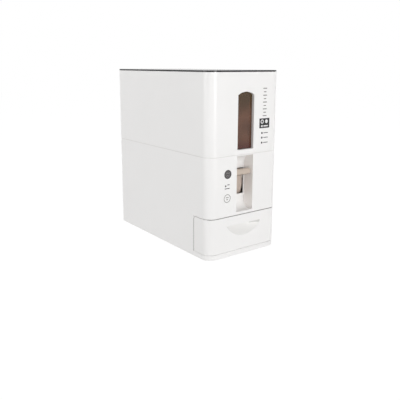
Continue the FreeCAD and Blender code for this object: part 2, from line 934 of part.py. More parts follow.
def drawer_screw_spots():
    across = tray_half - s.tray_corner - s.boss_radius
    low = tray_foot + s.boss_radius * 2
    high = tray_foot + s.tray_height - s.boss_radius * 2
    return mirrored(across, (low, high))


def make_drawer_front():
    """The drawer's face, wrapped round both corners, with a crescent finger pull."""
    body = new_body("drawer_cap")
    end = bay_back - s.drawer_gap
    outer = s.corner_radius
    inner = outer - s.drawer_wall
    side = half_width - s.drawer_wall
    low = front + s.drawer_wall
    cap = [
        bend(-half_width, front + outer, outer),
        corner(-half_width + outer, front),
        bend(half_width - outer, front, outer),
        corner(half_width, front + outer),
        corner(half_width, end),
        corner(side, end),
        bend(side, low + inner, inner, -1),
        corner(side - inner, low),
        bend(-side + inner, low, inner, -1),
        corner(-side, low + inner),
        corner(-side, end),
        corner(-half_width, end),
    ]
    pad_up(body, drawer_foot, drawer_top - drawer_foot, [cap])
    finish_edges(
        "Fillet",
        body,
        lambda point: near(point.z, drawer_top) and near(point.y, end),
        s.bay_corner - s.drawer_gap,
    )
    boss_face = front + s.drawer_wall / 2
    rings = boss_rings(drawer_screw_spots(), s.boss_radius, pilot)
    pad_back(body, boss_face, tray_front - boss_face, circles=rings)
    backed = doc.addObject("Part::Fuse", "drawer_backed")
    backed.Base = body
    backed.Tool = pull_ball("pull_backing", s.pull_wall)
    face = doc.addObject("Part::Cut", "drawer_front")
    face.Label = "drawer_front"
    face.Base = backed
    face.Tool = pull_ball("pull_hollow", as_size(0))


def make_drawer_tray():
    """The open rice box behind the drawer's face."""
    body = new_body("drawer_tray")
    tray_back = tray_front + s.tray_length
    plan = rounded_box(-tray_half, tray_half, tray_front, tray_back, s.tray_corner)
    pad_up(body, tray_foot, s.tray_height, [plan])
    finish_edges("Fillet", body, lambda point: near(point.z, tray_foot), s.tray_floor_radius)
    cavity = rounded_box(
        -tray_half + s.tray_wall,
        tray_half - s.tray_wall,
        tray_front + s.tray_wall,
        tray_back - s.tray_wall,
        s.tray_corner - s.tray_wall,
    )
    floor = tray_foot + s.tray_wall
    cut_down(body, tray_foot + s.tray_height, s.tray_height - s.tray_wall, [cavity])
    inner_round = s.tray_floor_radius - s.tray_wall
    finish_edges("Fillet", body, lambda point: near(point.z, floor), inner_round)
    holes = [(across, up, pilot) for across, up in drawer_screw_spots()]
    cut_back(body, tray_front, s.tray_wall, circles=holes)


# ------------------------------------------------------------------ measuring mechanism


def make_pivot_bracket():
    """The upright that carries the rocker's pins and the measuring chamber."""
    body = new_body("pivot_bracket")
    crown = pivot_z + s.bracket_crown
    plate = [
        corner(pivot_y - s.bracket_front, deck_top),
        corner(bracket_end, deck_top),
        corner(bracket_end, crown),
        bend(pivot_y, crown, s.bracket_crown),
        corner(pivot_y - s.bracket_crown, pivot_z),
    ]
    pad_across(body, bracket_outer * 2, [plate])
    hollow = square_box(
        pivot_y - s.bracket_front - s.bracket_wall,
        bracket_face,
        deck_top - s.bracket_wall,
        crown + s.bracket_wall,
    )
    cut_across(body, bracket_inner * 2, [hollow])
    feet = []
    for side in (-1, 1):
        inner = side * (bracket_outer - s.bracket_wall)
        outer = side * (bracket_outer + s.bracket_foot)
        feet.append(square_box(inner, outer, pivot_y - s.bracket_front, bracket_end))
    pad_up(body, deck_top, s.bracket_wall, feet)
    screws = [(across, up, pilot) for across, up in bracket_screw_spots()]
    cut_down(body, deck_top + s.bracket_wall, s.bracket_wall, circles=screws)
    cut_across(body, bracket_outer * 2, circles=[(pivot_y, pivot_z, s.pivot_pin_radius)])
    holes = [(across, pivot_z, pilot) for across in (-s.chamber_screw_offset, s.chamber_screw_offset)]
    cut_back(body, bracket_face, s.bracket_wall, circles=holes)


def chamber_outline(grow):
    """The side profile of the measuring chamber: wide at the shoulders, narrow at both mouths."""
    neck = mouth_half + grow
    side = s.chamber_half_depth + grow
    ease = grow * tangent(22.5)
    shoulder = s.chamber_shoulder + ease
    throat = s.chamber_shoulder + s.chamber_half_depth - mouth_half + ease
    end = s.gate_radius + s.gate_thickness
    quarter = [(neck, end), (neck, throat), (side, shoulder)]
    spots = [(across, -up) for across, up in quarter]
    spots += [(across, up) for across, up in reversed(quarter)]
    spots += [(-across, up) for across, up in quarter]
    spots += [(-across, -up) for across, up in reversed(quarter)]
    return [corner(pivot_y + across, pivot_z + up) for across, up in spots]


def make_metering_chamber():
    """The fixed measure between the two gates, held by a channel to the bracket."""
    body = new_body("metering_chamber")
    pad_across(body, chamber_outer * 2, [chamber_outline(s.chamber_wall)])
    cut_across(body, s.chamber_width, [chamber_outline(0)])
    trim = [(pivot_y, pivot_z, mouth_radius), (pivot_y, pivot_z, s.shield_radius)]
    cut_across(body, chamber_outer * 2, circles=trim)
    start = pivot_y + s.chamber_half_depth + s.chamber_wall / 2
    plate_face = bracket_face - s.chamber_wall
    half = s.tongue_width / 2
    rise = s.tongue_height / 2
    outer = square_box(-half, half, pivot_z - rise, pivot_z + rise)
    pad_back(body, start, plate_face - start, [outer])
    inner_side = half - s.chamber_wall
    channel = square_box(
        -inner_side, inner_side, pivot_z - rise - s.chamber_wall, pivot_z + rise - s.chamber_wall
    )
    wall_face = pivot_y + s.chamber_half_depth + s.chamber_wall
    cut_back(body, wall_face, plate_face - wall_face, [channel])
    plate = square_box(
        -s.flange_half_width,
        s.flange_half_width,
        pivot_z - s.flange_half_height,
        pivot_z + s.flange_half_height,
    )
    holes = [(across, pivot_z, pilot) for across in (-s.chamber_screw_offset, s.chamber_screw_offset)]
    pad_back(body, plate_face, s.chamber_wall, [plate], holes)
    cut_across(body, chamber_outer * 2, circles=[(pivot_y, pivot_z, s.pivot_pin_radius)])


def make_outlet_chute():
    """The fixed chute from the lower gate down to the drawer."""
    body = new_body("outlet_chute")
    depth = s.chute_half_depth
    outer_depth = depth + s.chute_wall
    outer = square_box(-chamber_outer, chamber_outer, pivot_y - outer_depth, pivot_y + outer_depth)
    inner = square_box(-chamber_half, chamber_half, pivot_y - depth, pivot_y + depth)
    top = pivot_z - side_of(lip_radius, outer_depth) + s.chute_wall
    pad_up(body, deck_top, top - deck_top, [outer, inner])
    cut_across(body, chamber_outer * 4, circles=[(pivot_y, pivot_z, lip_radius)])
    foot_depth = outer_depth + s.chute_foot
    foot = square_box(-chamber_outer, chamber_outer, pivot_y - foot_depth, pivot_y + foot_depth)
    pad_up(body, deck_top, s.chute_wall, [foot, inner])


def make_metering_rocker():
    """Two cheeks joined by an upper gate, a lower gate and the bar that takes the lever."""
    body = new_body("metering_rocker")
    shut = s.mouth_angle / 2 + s.gate_lap_angle
    upper_start = 90 - shut - s.stroke_angle
    upper_end = 90 + shut - s.stroke_angle
    lower_start = 270 - shut
    lower_end = 270 + shut
    bar_start = lever_heading - s.crossbar_angle / 2
    bar_end = lever_heading + s.crossbar_angle / 2
    bar_inner = shield_inner - s.crossbar_thickness
    inside = cheek_inner * 2
    pad_across(body, cheek_outer * 2, circles=[(pivot_y, pivot_z, gate_outer)])
    hub_width = (bracket_inner - s.deck_gap) * 2
    pad_across(body, hub_width, circles=[(pivot_y, pivot_z, s.hub_radius)])
    arm_inner = s.gate_radius - s.crossbar_thickness * 2
    pad_across(body, cheek_outer * 2, [sector(arm_inner, shield_inner, bar_start, bar_end)])
    cut_across(body, inside, circles=[(pivot_y, pivot_z, s.gate_radius)])
    wide_start = bar_start - s.gate_lap_angle
    wide_end = bar_end + s.gate_lap_angle
    cut_across(body, inside, [sector(arm_inner - s.gate_thickness, bar_inner, wide_start, wide_end)])
    third = (lower_start - upper_end) / 3
    front_fan = [upper_end, upper_end + third, upper_end + third * 2, lower_start]
    cut_across(body, inside, [wedge((gate_outer + bar_inner) / 2, *front_fan)])
    back_fan = [lower_end, (lower_end + upper_start + 360) / 2, upper_start + 360]
    cut_across(body, inside, [wedge(s.shield_radius, *back_fan)])
    lug_width = cheek_outer - (s.spring_side - s.lug_thickness)
    lug = square_box(
        pivot_y + s.gate_radius - s.lug_thickness,
        spring_y + s.lug_thickness,
        lug_foot,
        lug_foot + s.lug_thickness,
    )
    pad_across(body, lug_width, [lug], middle=cheek_outer - lug_width / 2)
    pad_up(body, lug_foot - s.peg_height, s.peg_height, circles=[(s.spring_side, spring_y, s.peg_radius)])
    bore = s.pivot_pin_radius + s.running_clearance
    cut_across(body, hub_width, circles=[(pivot_y, pivot_z, bore)])
    tenon = tilted_box(bar_inner - s.gate_thickness, s.shield_radius, s.stem_height / 4)
    cut_across(body, s.stem_width / 2, [tenon])


def make_lever():
    """The finger bar, its stem through the slot and the curved shield that closes the slot."""
    body = new_body("lever")
    near_knob = s.knob_reach - s.knob_depth
    pad_across(body, s.knob_width, [tilted_box(near_knob, s.knob_reach, s.knob_height / 2)])
    finish_edges("Fillet", body, lambda point: True, s.knob_round)
    stem = tilted_box(s.shield_radius - s.shield_thickness / 2, near_knob + s.knob_round, s.stem_height / 2)
    pad_across(body, s.stem_width, [stem])
    slot_rise = s.slot_top - s.slot_lead - pivot_z
    slot_drop = pivot_z - s.slot_bottom
    top_angle = arc_sine(slot_rise / s.shield_radius) + s.stroke_angle + s.shield_margin
    low_angle = arc_sine(slot_drop / s.shield_radius) + s.shield_margin
    shield = sector(shield_inner, s.shield_radius, 180 - top_angle, 180 + low_angle)
    pad_across(body, s.shield_width, [shield])
    tenon_root = s.shield_radius - s.shield_thickness / 2
    tenon = tilted_box(shield_inner - s.crossbar_thickness, tenon_root, s.stem_height / 4)
    pad_across(body, s.stem_width / 2, [tenon])


def arc_sine(ratio):
    return Size(math.degrees(math.asin(ratio.value)), f"(asin({ratio.formula}) / 1 deg)")


def make_pivot_pins():
    pins = []
    for number, side in enumerate((-1, 1), 1):
        start = (side * chamber_half, pivot_y, pivot_z)
        length = bracket_outer - chamber_half
        axis = (side, 0, 0)
        shank = cylinder(f"pivot_shank_{number}", s.pivot_pin_radius, length, start, axis)
        seat = (side * bracket_outer, pivot_y, pivot_z)
        head = cylinder(f"pivot_head_{number}", s.pin_head_radius, s.pin_head_thickness, seat, axis)
        pin = doc.addObject("Part::Fuse", f"pivot_pin_{number}")
        pin.Base = shank
        pin.Tool = head
        pins.append(pin)
    group("pivot_pins", pins)


def make_return_spring():
    """The coil that pulls the rocker's tail down and so lifts the lever."""
    body = new_body("return_spring")
    bind(body, "Placement.Base.x", s.spring_side)
    bind(body, "Placement.Base.y", spring_y)
    bind(body, "Placement.Base.z", deck_top)
    middle = s.spring_radius - s.spring_wire
    # the wire has eight sides, which keeps the coil light
    wire = [
        corner(middle + s.spring_wire * cosine(turn), s.spring_wire + s.spring_wire * sine(turn))
        for turn in range(0, 360, 45)
    ]
    sketch = sketch_on(body, "XZ_Plane", 0, [wire])
    coil = body.newObject("PartDesign::AdditiveHelix", "spring_coil")
    coil.Profile = sketch
    coil.ReferenceAxis = (sketch, ["V_Axis"])
    coil.Mode = "height-turns-angle"
    height = lug_foot - deck_top - s.spring_wire * 2
    bind(coil, "Height", height)
    bind(coil, "Turns", s.spring_turns)
    sketch.Visibility = False


# ------------------------------------------------------------------ lid


def make_lid_panel():
    """The dark flip lid, with a rolled hinge edge cut round the ears."""
    body = new_body("lid_panel")
    underside = rim + s.lid_gap
    corner_y = back - s.corner_radius
    side = half_width
    radius = s.corner_radius
    plate_back = hinge_y - s.lid_gap
    shoulder = side - radius + side_of(radius, plate_back - corner_y)
    plate = [
        bend(-side, front + radius, radius),
        corner(-side + radius, front),
        bend(side - radius, front, radius),
        corner(side, front + radius),
        bend(side, corner_y, radius),
        corner(shoulder, plate_back),
        bend(-shoulder, plate_back, radius),
        corner(-side, corner_y),
    ]
    pad_up(body, underside, s.lid_thickness, [plate])
    finish_edges(
        "Fillet",
        body,
        lambda point: near(point.z, s.body_height) and on_body_outline(point) and point.y < hinge_y.value,
        s.lid_edge,
    )
    bead_width = (side - radius) * 2
    pad_across(body, bead_width, circles=[(hinge_y, hinge_z, s.barrel_radius)])
    notch = (s.ear_width + s.ear_gap * 2) / 2
    behind = hinge_y - s.barrel_radius - s.ear_gap * 2
    notches = []
    for side_sign in (-1, 1):
        for end in (-1, 1):
            middle = side_sign * (barrel_centre + end * ear_offset)
            notches.append(square_box(middle - notch, middle + notch, behind, back))
    cut_down(body, s.body_height, s.barrel_radius * 2, notches)
    cut_across(body, bead_width, circles=[(hinge_y, hinge_z, hinge_bore)])


def liner_outline(inset):
    """The lid liner's plan outline inside the hopper's mouth, clear of the hinge."""
    gap = s.tub_wall + s.liner_inset + inset
    side = tub_half - gap
    return rounded_box(-side, side, tub_front + gap, tub_back - gap, s.tub_corner - gap)


def make_lid_liner():
    """The pale inner plate of the lid, which carries the seal."""
    body = new_body("lid_liner")
    foot = rim + s.lid_gap - s.liner_thickness
    pad_up(body, foot, s.liner_thickness, [liner_outline(0)])


def make_lid_seal():
    """The soft ring that closes the hopper's mouth."""
    body = new_body("lid_seal")
    top = rim + s.lid_gap - s.liner_thickness
    inset = s.tub_wall + s.seal_gap
    ring = [tub_outline(inset), tub_outline(inset + s.seal_width)]
    pad_up(body, top - s.seal_height, s.seal_height, ring)


def make_hinge_pins():
    pins = []
    length = (ear_offset + s.ear_width / 2) * 2
    for number, side in enumerate((-1, 1), 1):
        start = (side * barrel_centre - length / 2, hinge_y, hinge_z)
        pins.append(cylinder(f"hinge_pin_{number}", s.hinge_pin_radius, length, start, (1, 0, 0)))
    group("hinge_pins", pins)


# ------------------------------------------------------------------ fasteners


def make_screws():
    up, down, forward = (0, 0, 1), (0, 0, -1), (0, -1, 0)
    corners = mirrored(corner_boss_x, (-corner_boss_y, corner_boss_y))
    base_length = s.base_thickness + s.sill_thickness
    screw_group("base_screws", [(x, y, base_foot) for x, y in corners], up, base_length)
    seam = [(x, y, lap_foot - s.seam_boss_height) for x, y in mirrored(side_boss_x, seam_boss_ys)]
    screw_group("seam_screws", seam, up, s.seam_boss_height * 1.5)
    seat = deck_top + s.bracket_wall
    spots = [(x, y, seat) for x, y in bracket_screw_spots()]
    screw_group("bracket_screws", spots, down, s.bracket_wall + s.deck_thickness)
    chamber = [(side * s.chamber_screw_offset, bracket_end, pivot_z) for side in (-1, 1)]
    screw_group("chamber_screws", chamber, forward, s.bracket_wall + s.chamber_wall)
    drawer = [(x, tray_front + s.tray_wall, z) for x, z in drawer_screw_spots()]
    screw_group("drawer_screws", drawer, forward, s.tray_wall + s.boss_radius * 2)


def screw_group(label, seats, axis, length):
    """Screws of one kind: each head lies on its seat, each shank runs along the axis."""
    group(label, [screw(f"{label}_{n}", seat, axis, length) for n, seat in enumerate(seats, 1)])


# ------------------------------------------------------------------ building and writing

NODES = (
    "lower_housing",
    "upper_housing",
    "hopper",
    "window_pane",
    "base_frame",
    "rubber_feet",
    "mid_deck",
    "drawer_front",
    "drawer_tray",
    "pivot_bracket",
    "metering_chamber",
    "outlet_chute",
    "metering_rocker",
    "lever",
    "pivot_pins",
    "return_spring",
    "lid_panel",
    "lid_liner",
    "lid_seal",
    "hinge_pins",
    "base_screws",
    "seam_screws",
    "bracket_screws",
    "chamber_screws",
    "drawer_screws",
)


def check_features():
    """Stops on a failed object, and on a Pocket that removed nothing."""
    for item in doc.Objects:
        if {"Invalid", "Error"} & set(item.State):
            raise RuntimeError(f"{item.Label}: {item.State}")
        if item.TypeId == "PartDesign::Pocket":
            before = item.BaseFeature.Shape.Volume
            if before - item.Shape.Volume < 0.01:
                raise RuntimeError(f"{item.Name} removes nothing")


def write_parts():
    """Writes each sub-part once its shape is whole."""
    os.makedirs("parts", exist_ok=True)
    for label in NODES:
        item = doc.getObjectsByLabel(label)[0]
        shape = item.Shape
        if shape.isNull() or not shape.isValid() or not shape.Solids:
            raise RuntimeError(f"{label}: bad shape")
        shape.exportStep(f"parts/{label}.step")
        box = shape.BoundBox
        print(f"{label}: {len(shape.Solids)} solids, {shape.Volume / 1000:.1f} cm3, "
              f"z {box.ZMin:.1f} to {box.ZMax:.1f}")


make_lower_housing()
make_upper_housing()
make_hopper()
make_window_pane()
make_base_frame()
make_rubber_feet()
make_mid_deck()
make_drawer_front()
make_drawer_tray()
make_pivot_bracket()
make_metering_chamber()
make_outlet_chute()
make_metering_rocker()
make_lever()
make_pivot_pins()
make_return_spring()
make_lid_panel()
make_lid_liner()
make_lid_seal()
make_hinge_pins()
make_screws()
doc.recompute()
check_features()
write_parts()
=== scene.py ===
"""Finishes, printed marks, small parts, studio and camera for a rice dispenser with a drawer.

Metres throughout; the origin is the middle of the footprint on the floor, the front faces -Y and +Z is up.
"""

import json
import logging
import math
from dataclasses import dataclass
from enum import Enum
from typing import Any, Optional, Protocol

import bmesh
import bpy
from mathutils import Matrix, Vector


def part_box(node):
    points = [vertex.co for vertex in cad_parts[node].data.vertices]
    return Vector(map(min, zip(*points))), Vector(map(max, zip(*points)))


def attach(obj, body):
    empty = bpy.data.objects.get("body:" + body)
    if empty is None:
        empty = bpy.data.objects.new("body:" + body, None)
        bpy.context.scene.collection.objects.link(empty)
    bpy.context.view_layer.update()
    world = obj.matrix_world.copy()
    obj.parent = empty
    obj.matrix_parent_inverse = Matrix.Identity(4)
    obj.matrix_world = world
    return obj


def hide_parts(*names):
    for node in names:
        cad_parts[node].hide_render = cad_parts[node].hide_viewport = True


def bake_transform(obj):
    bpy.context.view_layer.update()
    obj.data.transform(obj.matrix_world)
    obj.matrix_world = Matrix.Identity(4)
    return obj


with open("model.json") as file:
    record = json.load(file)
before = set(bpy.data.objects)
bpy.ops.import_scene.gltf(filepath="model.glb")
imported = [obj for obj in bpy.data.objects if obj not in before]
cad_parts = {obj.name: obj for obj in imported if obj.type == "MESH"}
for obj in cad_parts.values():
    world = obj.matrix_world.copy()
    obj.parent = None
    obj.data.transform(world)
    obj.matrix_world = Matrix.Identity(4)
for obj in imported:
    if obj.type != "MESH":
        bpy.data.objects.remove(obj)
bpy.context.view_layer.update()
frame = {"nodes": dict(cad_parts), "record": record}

MM = 0.001
LOG = logging.getLogger("rice_dispenser")

# how near two corners lie that belong together, in a node's loose triangles and in a turned shape
LOOSE_GAP = 0.004 * MM
TURNED_GAP = 0.001 * MM
CRISP_ANGLE = math.radians(30)

# where nearly all of a noise's values lie
NOISE_LOW, NOISE_HIGH = 0.3, 0.7
# the colour mixer's sockets
FACTOR, LOW, HIGH, MIXED = 0, 6, 7, 2
WHITE = (1.0, 1.0, 1.0, 1.0)

Tree = bpy.types.NodeTree
Node = bpy.types.Node
Socket = bpy.types.NodeSocket
Material = bpy.types.Material
Object = bpy.types.Object


# ---------------------------------------------------------------- colour and nodes


def linear(hex_colour: str, share: float = 1.0) -> tuple[float, float, float, float]:
    """Turns an sRGB hex colour into the linear one that nodes take.

    Args:
        hex_colour: six hex digits with a leading hash.
        share: how much of the colour's light is kept.

    Returns:
        Linear red, green and blue, with an alpha of 1.
    """
    parts = [int(hex_colour[place : place + 2], 16) / 255 for place in (1, 3, 5)]
    lit = [part / 12.92 if part <= 0.04045 else ((part + 0.055) / 1.055) ** 2.4 for part in parts]
    return (*[min(value * share, 1.0) for value in lit], 1.0)


def pattern(size_mm: float, detail: float = 2.0) -> dict[str, float]:
    """The settings of a soft noise with features this wide and this many finer layers."""
    return {"Scale": 1.0 / (size_mm * MM), "Detail": detail}


def stretched(low: float, high: float) -> dict[str, float]:
    """The settings that stretch a noise to run from one value to another."""
    return {"From Min": NOISE_LOW, "From Max": NOISE_HIGH, "To Min": low, "To Max": high}


def relief(depth_mm: float, strength: float) -> dict[str, float]:
    """The settings of a relief of this real depth."""
    return {"Strength": strength, "Distance": depth_mm * MM}


def tints(colour: str, dark: float, light: float) -> dict[Any, Any]:
    """The settings of a mixer that runs from a darker to a lighter tint of one colour."""
    return {"data_type": "RGBA", LOW: linear(colour, dark), HIGH: linear(colour, light)}


def over(tone: str) -> dict[Any, Any]:
    """The settings of a mixer that lays an even tone over what feeds it."""
    return {"data_type": "RGBA", HIGH: linear(tone)}


def add_node(
    tree: Tree,
    kind: str,
    settings: Optional[dict[Any, Any]] = None,
    links: Optional[dict[Any, Socket]] = None,
) -> Node:
    """Adds one node, sets its fields and sockets, and feeds its sockets.

    Args:
        tree: the node tree that takes it.
        kind: the node's type name.
        settings: lower-case keys are fields; capitalised or numbered keys are sockets.
        links: the socket of this node to the socket that feeds it.

    Returns:
        The new node.
    """
    node = tree.nodes.new(kind)
    for key, value in (settings or {}).items():
        if isinstance(key, str) and key[0].islower():
            setattr(node, key, value)
    for key, value in (settings or {}).items():
        if not (isinstance(key, str) and key[0].islower()):
            node.inputs[key].default_value = value
    for key, source in (links or {}).items():
        tree.links.new(source, node.inputs[key])
    return node


def new_material(name: str) -> tuple[Material, Tree, Node, Socket]:
    """Starts a material with one principled shader and the object's own coordinates.

    Args:
        name: the material's name.

    Returns:
        The material, its tree, the shader node and the coordinate socket.
    """
    material = bpy.data.materials.new(name)
    material.use_nodes = True
    tree = material.node_tree
    tree.nodes.clear()
    output = add_node(tree, "ShaderNodeOutputMaterial")
    shader = add_node(tree, "ShaderNodeBsdfPrincipled")
    tree.links.new(shader.outputs["BSDF"], output.inputs["Surface"])
    coordinates = add_node(tree, "ShaderNodeTexCoord")
    return material, tree, shader, coordinates.outputs["Object"]


# ---------------------------------------------------------------- finishes


class Finish(Protocol):
    """Anything that has a name and can make its own material."""

    @property
    def name(self) -> str:
        """The material's name."""
        ...

    def make(self) -> Material:
        """Makes the material."""
        ...


GREY_INK = "#3A3639"
PALE_INK = "#85827F"
BLACK_INK = "#0D0C0D"
WHITE_INK = "#E4E3E3"

# how far a dot and its rule lie to each side of their middle
DOT_OFFSET, RULE_OFFSET = 7.0, 4.0


class MarkShape(Enum):
    """The plain shapes that are printed on the shell."""

    DISC = "disc"
    RING = "ring"
    BAR = "bar"


@dataclass(frozen=True)
class Mark:
    """One printed mark on the front face, in millimetres.

    The height is a bar's height or the stroke of a ring, and a disc needs none.
    """

    shape: MarkShape
    across: float
    up: float
    width: float
    height: float = 0.0
    ink: str = GREY_INK

    def mask(self, tree: Tree, flat: Socket, x: Socket, z: Socket) -> Socket:
        """Where this mark's ink lies.

        Args:
            tree: the node tree.
            flat: the place with its depth taken out.
            x: the distance across.
            z: the height.

        Returns:
            A value of 1 on the mark and 0 off it.
        """
        if self.shape is MarkShape.BAR:
            sides = []
            for value, middle, size in ((x, self.across, self.width), (z, self.up, self.height)):
                settings = {"operation": "COMPARE", 1: middle * MM, 2: size * MM / 2}
                sides.append(add_node(tree, "ShaderNodeMath", settings, {0: value}).outputs[0])
            both = {"operation": "MULTIPLY"}
            return add_node(tree, "ShaderNodeMath", both, {0: sides[0], 1: sides[1]}).outputs[0]
        centre = (self.across * MM, 0.0, self.up * MM)
        settings = {"operation": "DISTANCE", 1: centre}
        reach = add_node(tree, "ShaderNodeVectorMath", settings, {0: flat}).outputs["Value"]
        if self.shape is MarkShape.DISC:
            test = {"operation": "LESS_THAN", 1: self.width * MM / 2}
        else:
            stroke = self.height * MM / 2
            test = {"operation": "COMPARE", 1: self.width * MM / 2 - stroke, 2: stroke}
        return add_node(tree, "ShaderNodeMath", test, {0: reach}).outputs[0]


@dataclass(frozen=True)
class PaintedLightBox:
    """A box of a moulding whose colour is painted light and shade, such as the painted shade inside a seam.

    It is in millimetres, and a range that is left out runs past the whole object.
    """

    tone: str
    x: tuple[float, float] = (-100.0, 100.0)
    y: tuple[float, float] = (-200.0, 200.0)
    z: tuple[float, float] = (0.0, 400.0)

    def mask(self, tree: Tree, place: Socket) -> Socket:
        """Where the box lies.

        Args:
            tree: the node tree.
            place: the coordinates.

        Returns:
            A value of 1 in the box and 0 elsewhere.
        """
        split = add_node(tree, "ShaderNodeSeparateXYZ", links={0: place})
        inside = []
        for output, (low, high) in zip(split.outputs, (self.x, self.y, self.z)):
            settings = {"operation": "COMPARE", 1: (low + high) * MM / 2, 2: (high - low) * MM / 2}
            inside.append(add_node(tree, "ShaderNodeMath", settings, {0: output}).outputs[0])
        both = {"operation": "MULTIPLY"}
        flat = add_node(tree, "ShaderNodeMath", both, {0: inside[0], 1: inside[1]}).outputs[0]
        return add_node(tree, "ShaderNodeMath", both, {0: flat, 1: inside[2]}).outputs[0]


@dataclass(frozen=True)
class MouldedPlastic:
    """Injection-moulded plastic: an even colour, a faint ripple from the mould and a soft gloss."""

    name: str
    colour: str
    roughness: float
    ior: float = 1.53
    ripple_mm: float = 30.0
    ripple_depth_mm: float = 0.02
    ripple_strength: float = 0.12
    drift: float = 0.008
    drift_mm: float = 70.0
    handling: float = 0.01
    handling_mm: float = 60.0
    marks: tuple[Mark, ...] = ()
    ink_depth_mm: float = -192.0
    # painted light and shade, laid over the colour one box at a time
    painted_light: tuple[PaintedLightBox, ...] = ()

    def make(self) -> Material:
        """Makes the material.

        Returns:
            The plastic, with its painted light and shade and its printed marks if it has any.
        """
        material, tree, shader, place = new_material(self.name)
        # moulded skin: the colour drifts by a percent or two over a hand's width
        cloud = add_node(tree, "ShaderNodeTexNoise", pattern(self.drift_mm), {"Vector": place})
        ends = tints(self.colour, 1 - self.drift, 1 + self.drift)
        colour = add_node(tree, "ShaderNodeMix", ends, {FACTOR: cloud.outputs["Fac"]}).outputs[MIXED]
        # painted light and shade go on first, and the print over it
        layers = [(box.mask(tree, place), box.tone) for box in self.painted_light]
        for ink in dict.fromkeys(mark.ink for mark in self.marks):
            layers.append((self.print_mask(tree, place, ink), ink))
        for mask, tone in layers:
            colour = add_node(
                tree, "ShaderNodeMix", over(tone), {FACTOR: mask, LOW: colour}
            ).outputs[MIXED]
        tree.links.new(colour, shader.inputs["Base Color"])
        handled = add_node(tree, "ShaderNodeTexNoise", pattern(self.handling_mm, 0.0), {"Vector": place})
        ends = stretched(self.roughness - self.handling, self.roughness + self.handling)
        rough = add_node(tree, "ShaderNodeMapRange", ends, {"Value": handled.outputs["Fac"]})
        tree.links.new(rough.outputs["Result"], shader.inputs["Roughness"])
        shader.inputs["IOR"].default_value = self.ior
        ripple = add_node(tree, "ShaderNodeTexNoise", pattern(self.ripple_mm, 0.0), {"Vector": place})
        depth = relief(self.ripple_depth_mm, self.ripple_strength)
        bump = add_node(tree, "ShaderNodeBump", depth, {"Height": ripple.outputs["Fac"]})
        tree.links.new(bump.outputs["Normal"], shader.inputs["Normal"])
        return material

    def print_mask(self, tree: Tree, place: Socket, ink: str) -> Socket:
        """Joins the marks of one ink into a mask on the front face.

        Args:
            tree: the node tree.
            place: the coordinates.
            ink: the ink's colour.

        Returns:
            A value of 1 where there is ink.
        """
        split = add_node(tree, "ShaderNodeSeparateXYZ", links={0: place})
        x, y, z = split.outputs
        flat = add_node(tree, "ShaderNodeCombineXYZ", links={0: x, 2: z}).outputs[0]
        total = None
        for mark in [mark for mark in self.marks if mark.ink == ink]:
            mask = mark.mask(tree, flat, x, z)
            if total is None:
                total = mask
                continue
            join = {"operation": "MAXIMUM"}
            total = add_node(tree, "ShaderNodeMath", join, {0: total, 1: mask}).outputs[0]
        skin = {"operation": "LESS_THAN", 1: self.ink_depth_mm * MM}
        outside = add_node(tree, "ShaderNodeMath", skin, {0: y}).outputs[0]
        both = {"operation": "MULTIPLY"}
        return add_node(tree, "ShaderNodeMath", both, {0: total, 1: outside}).outputs[0]


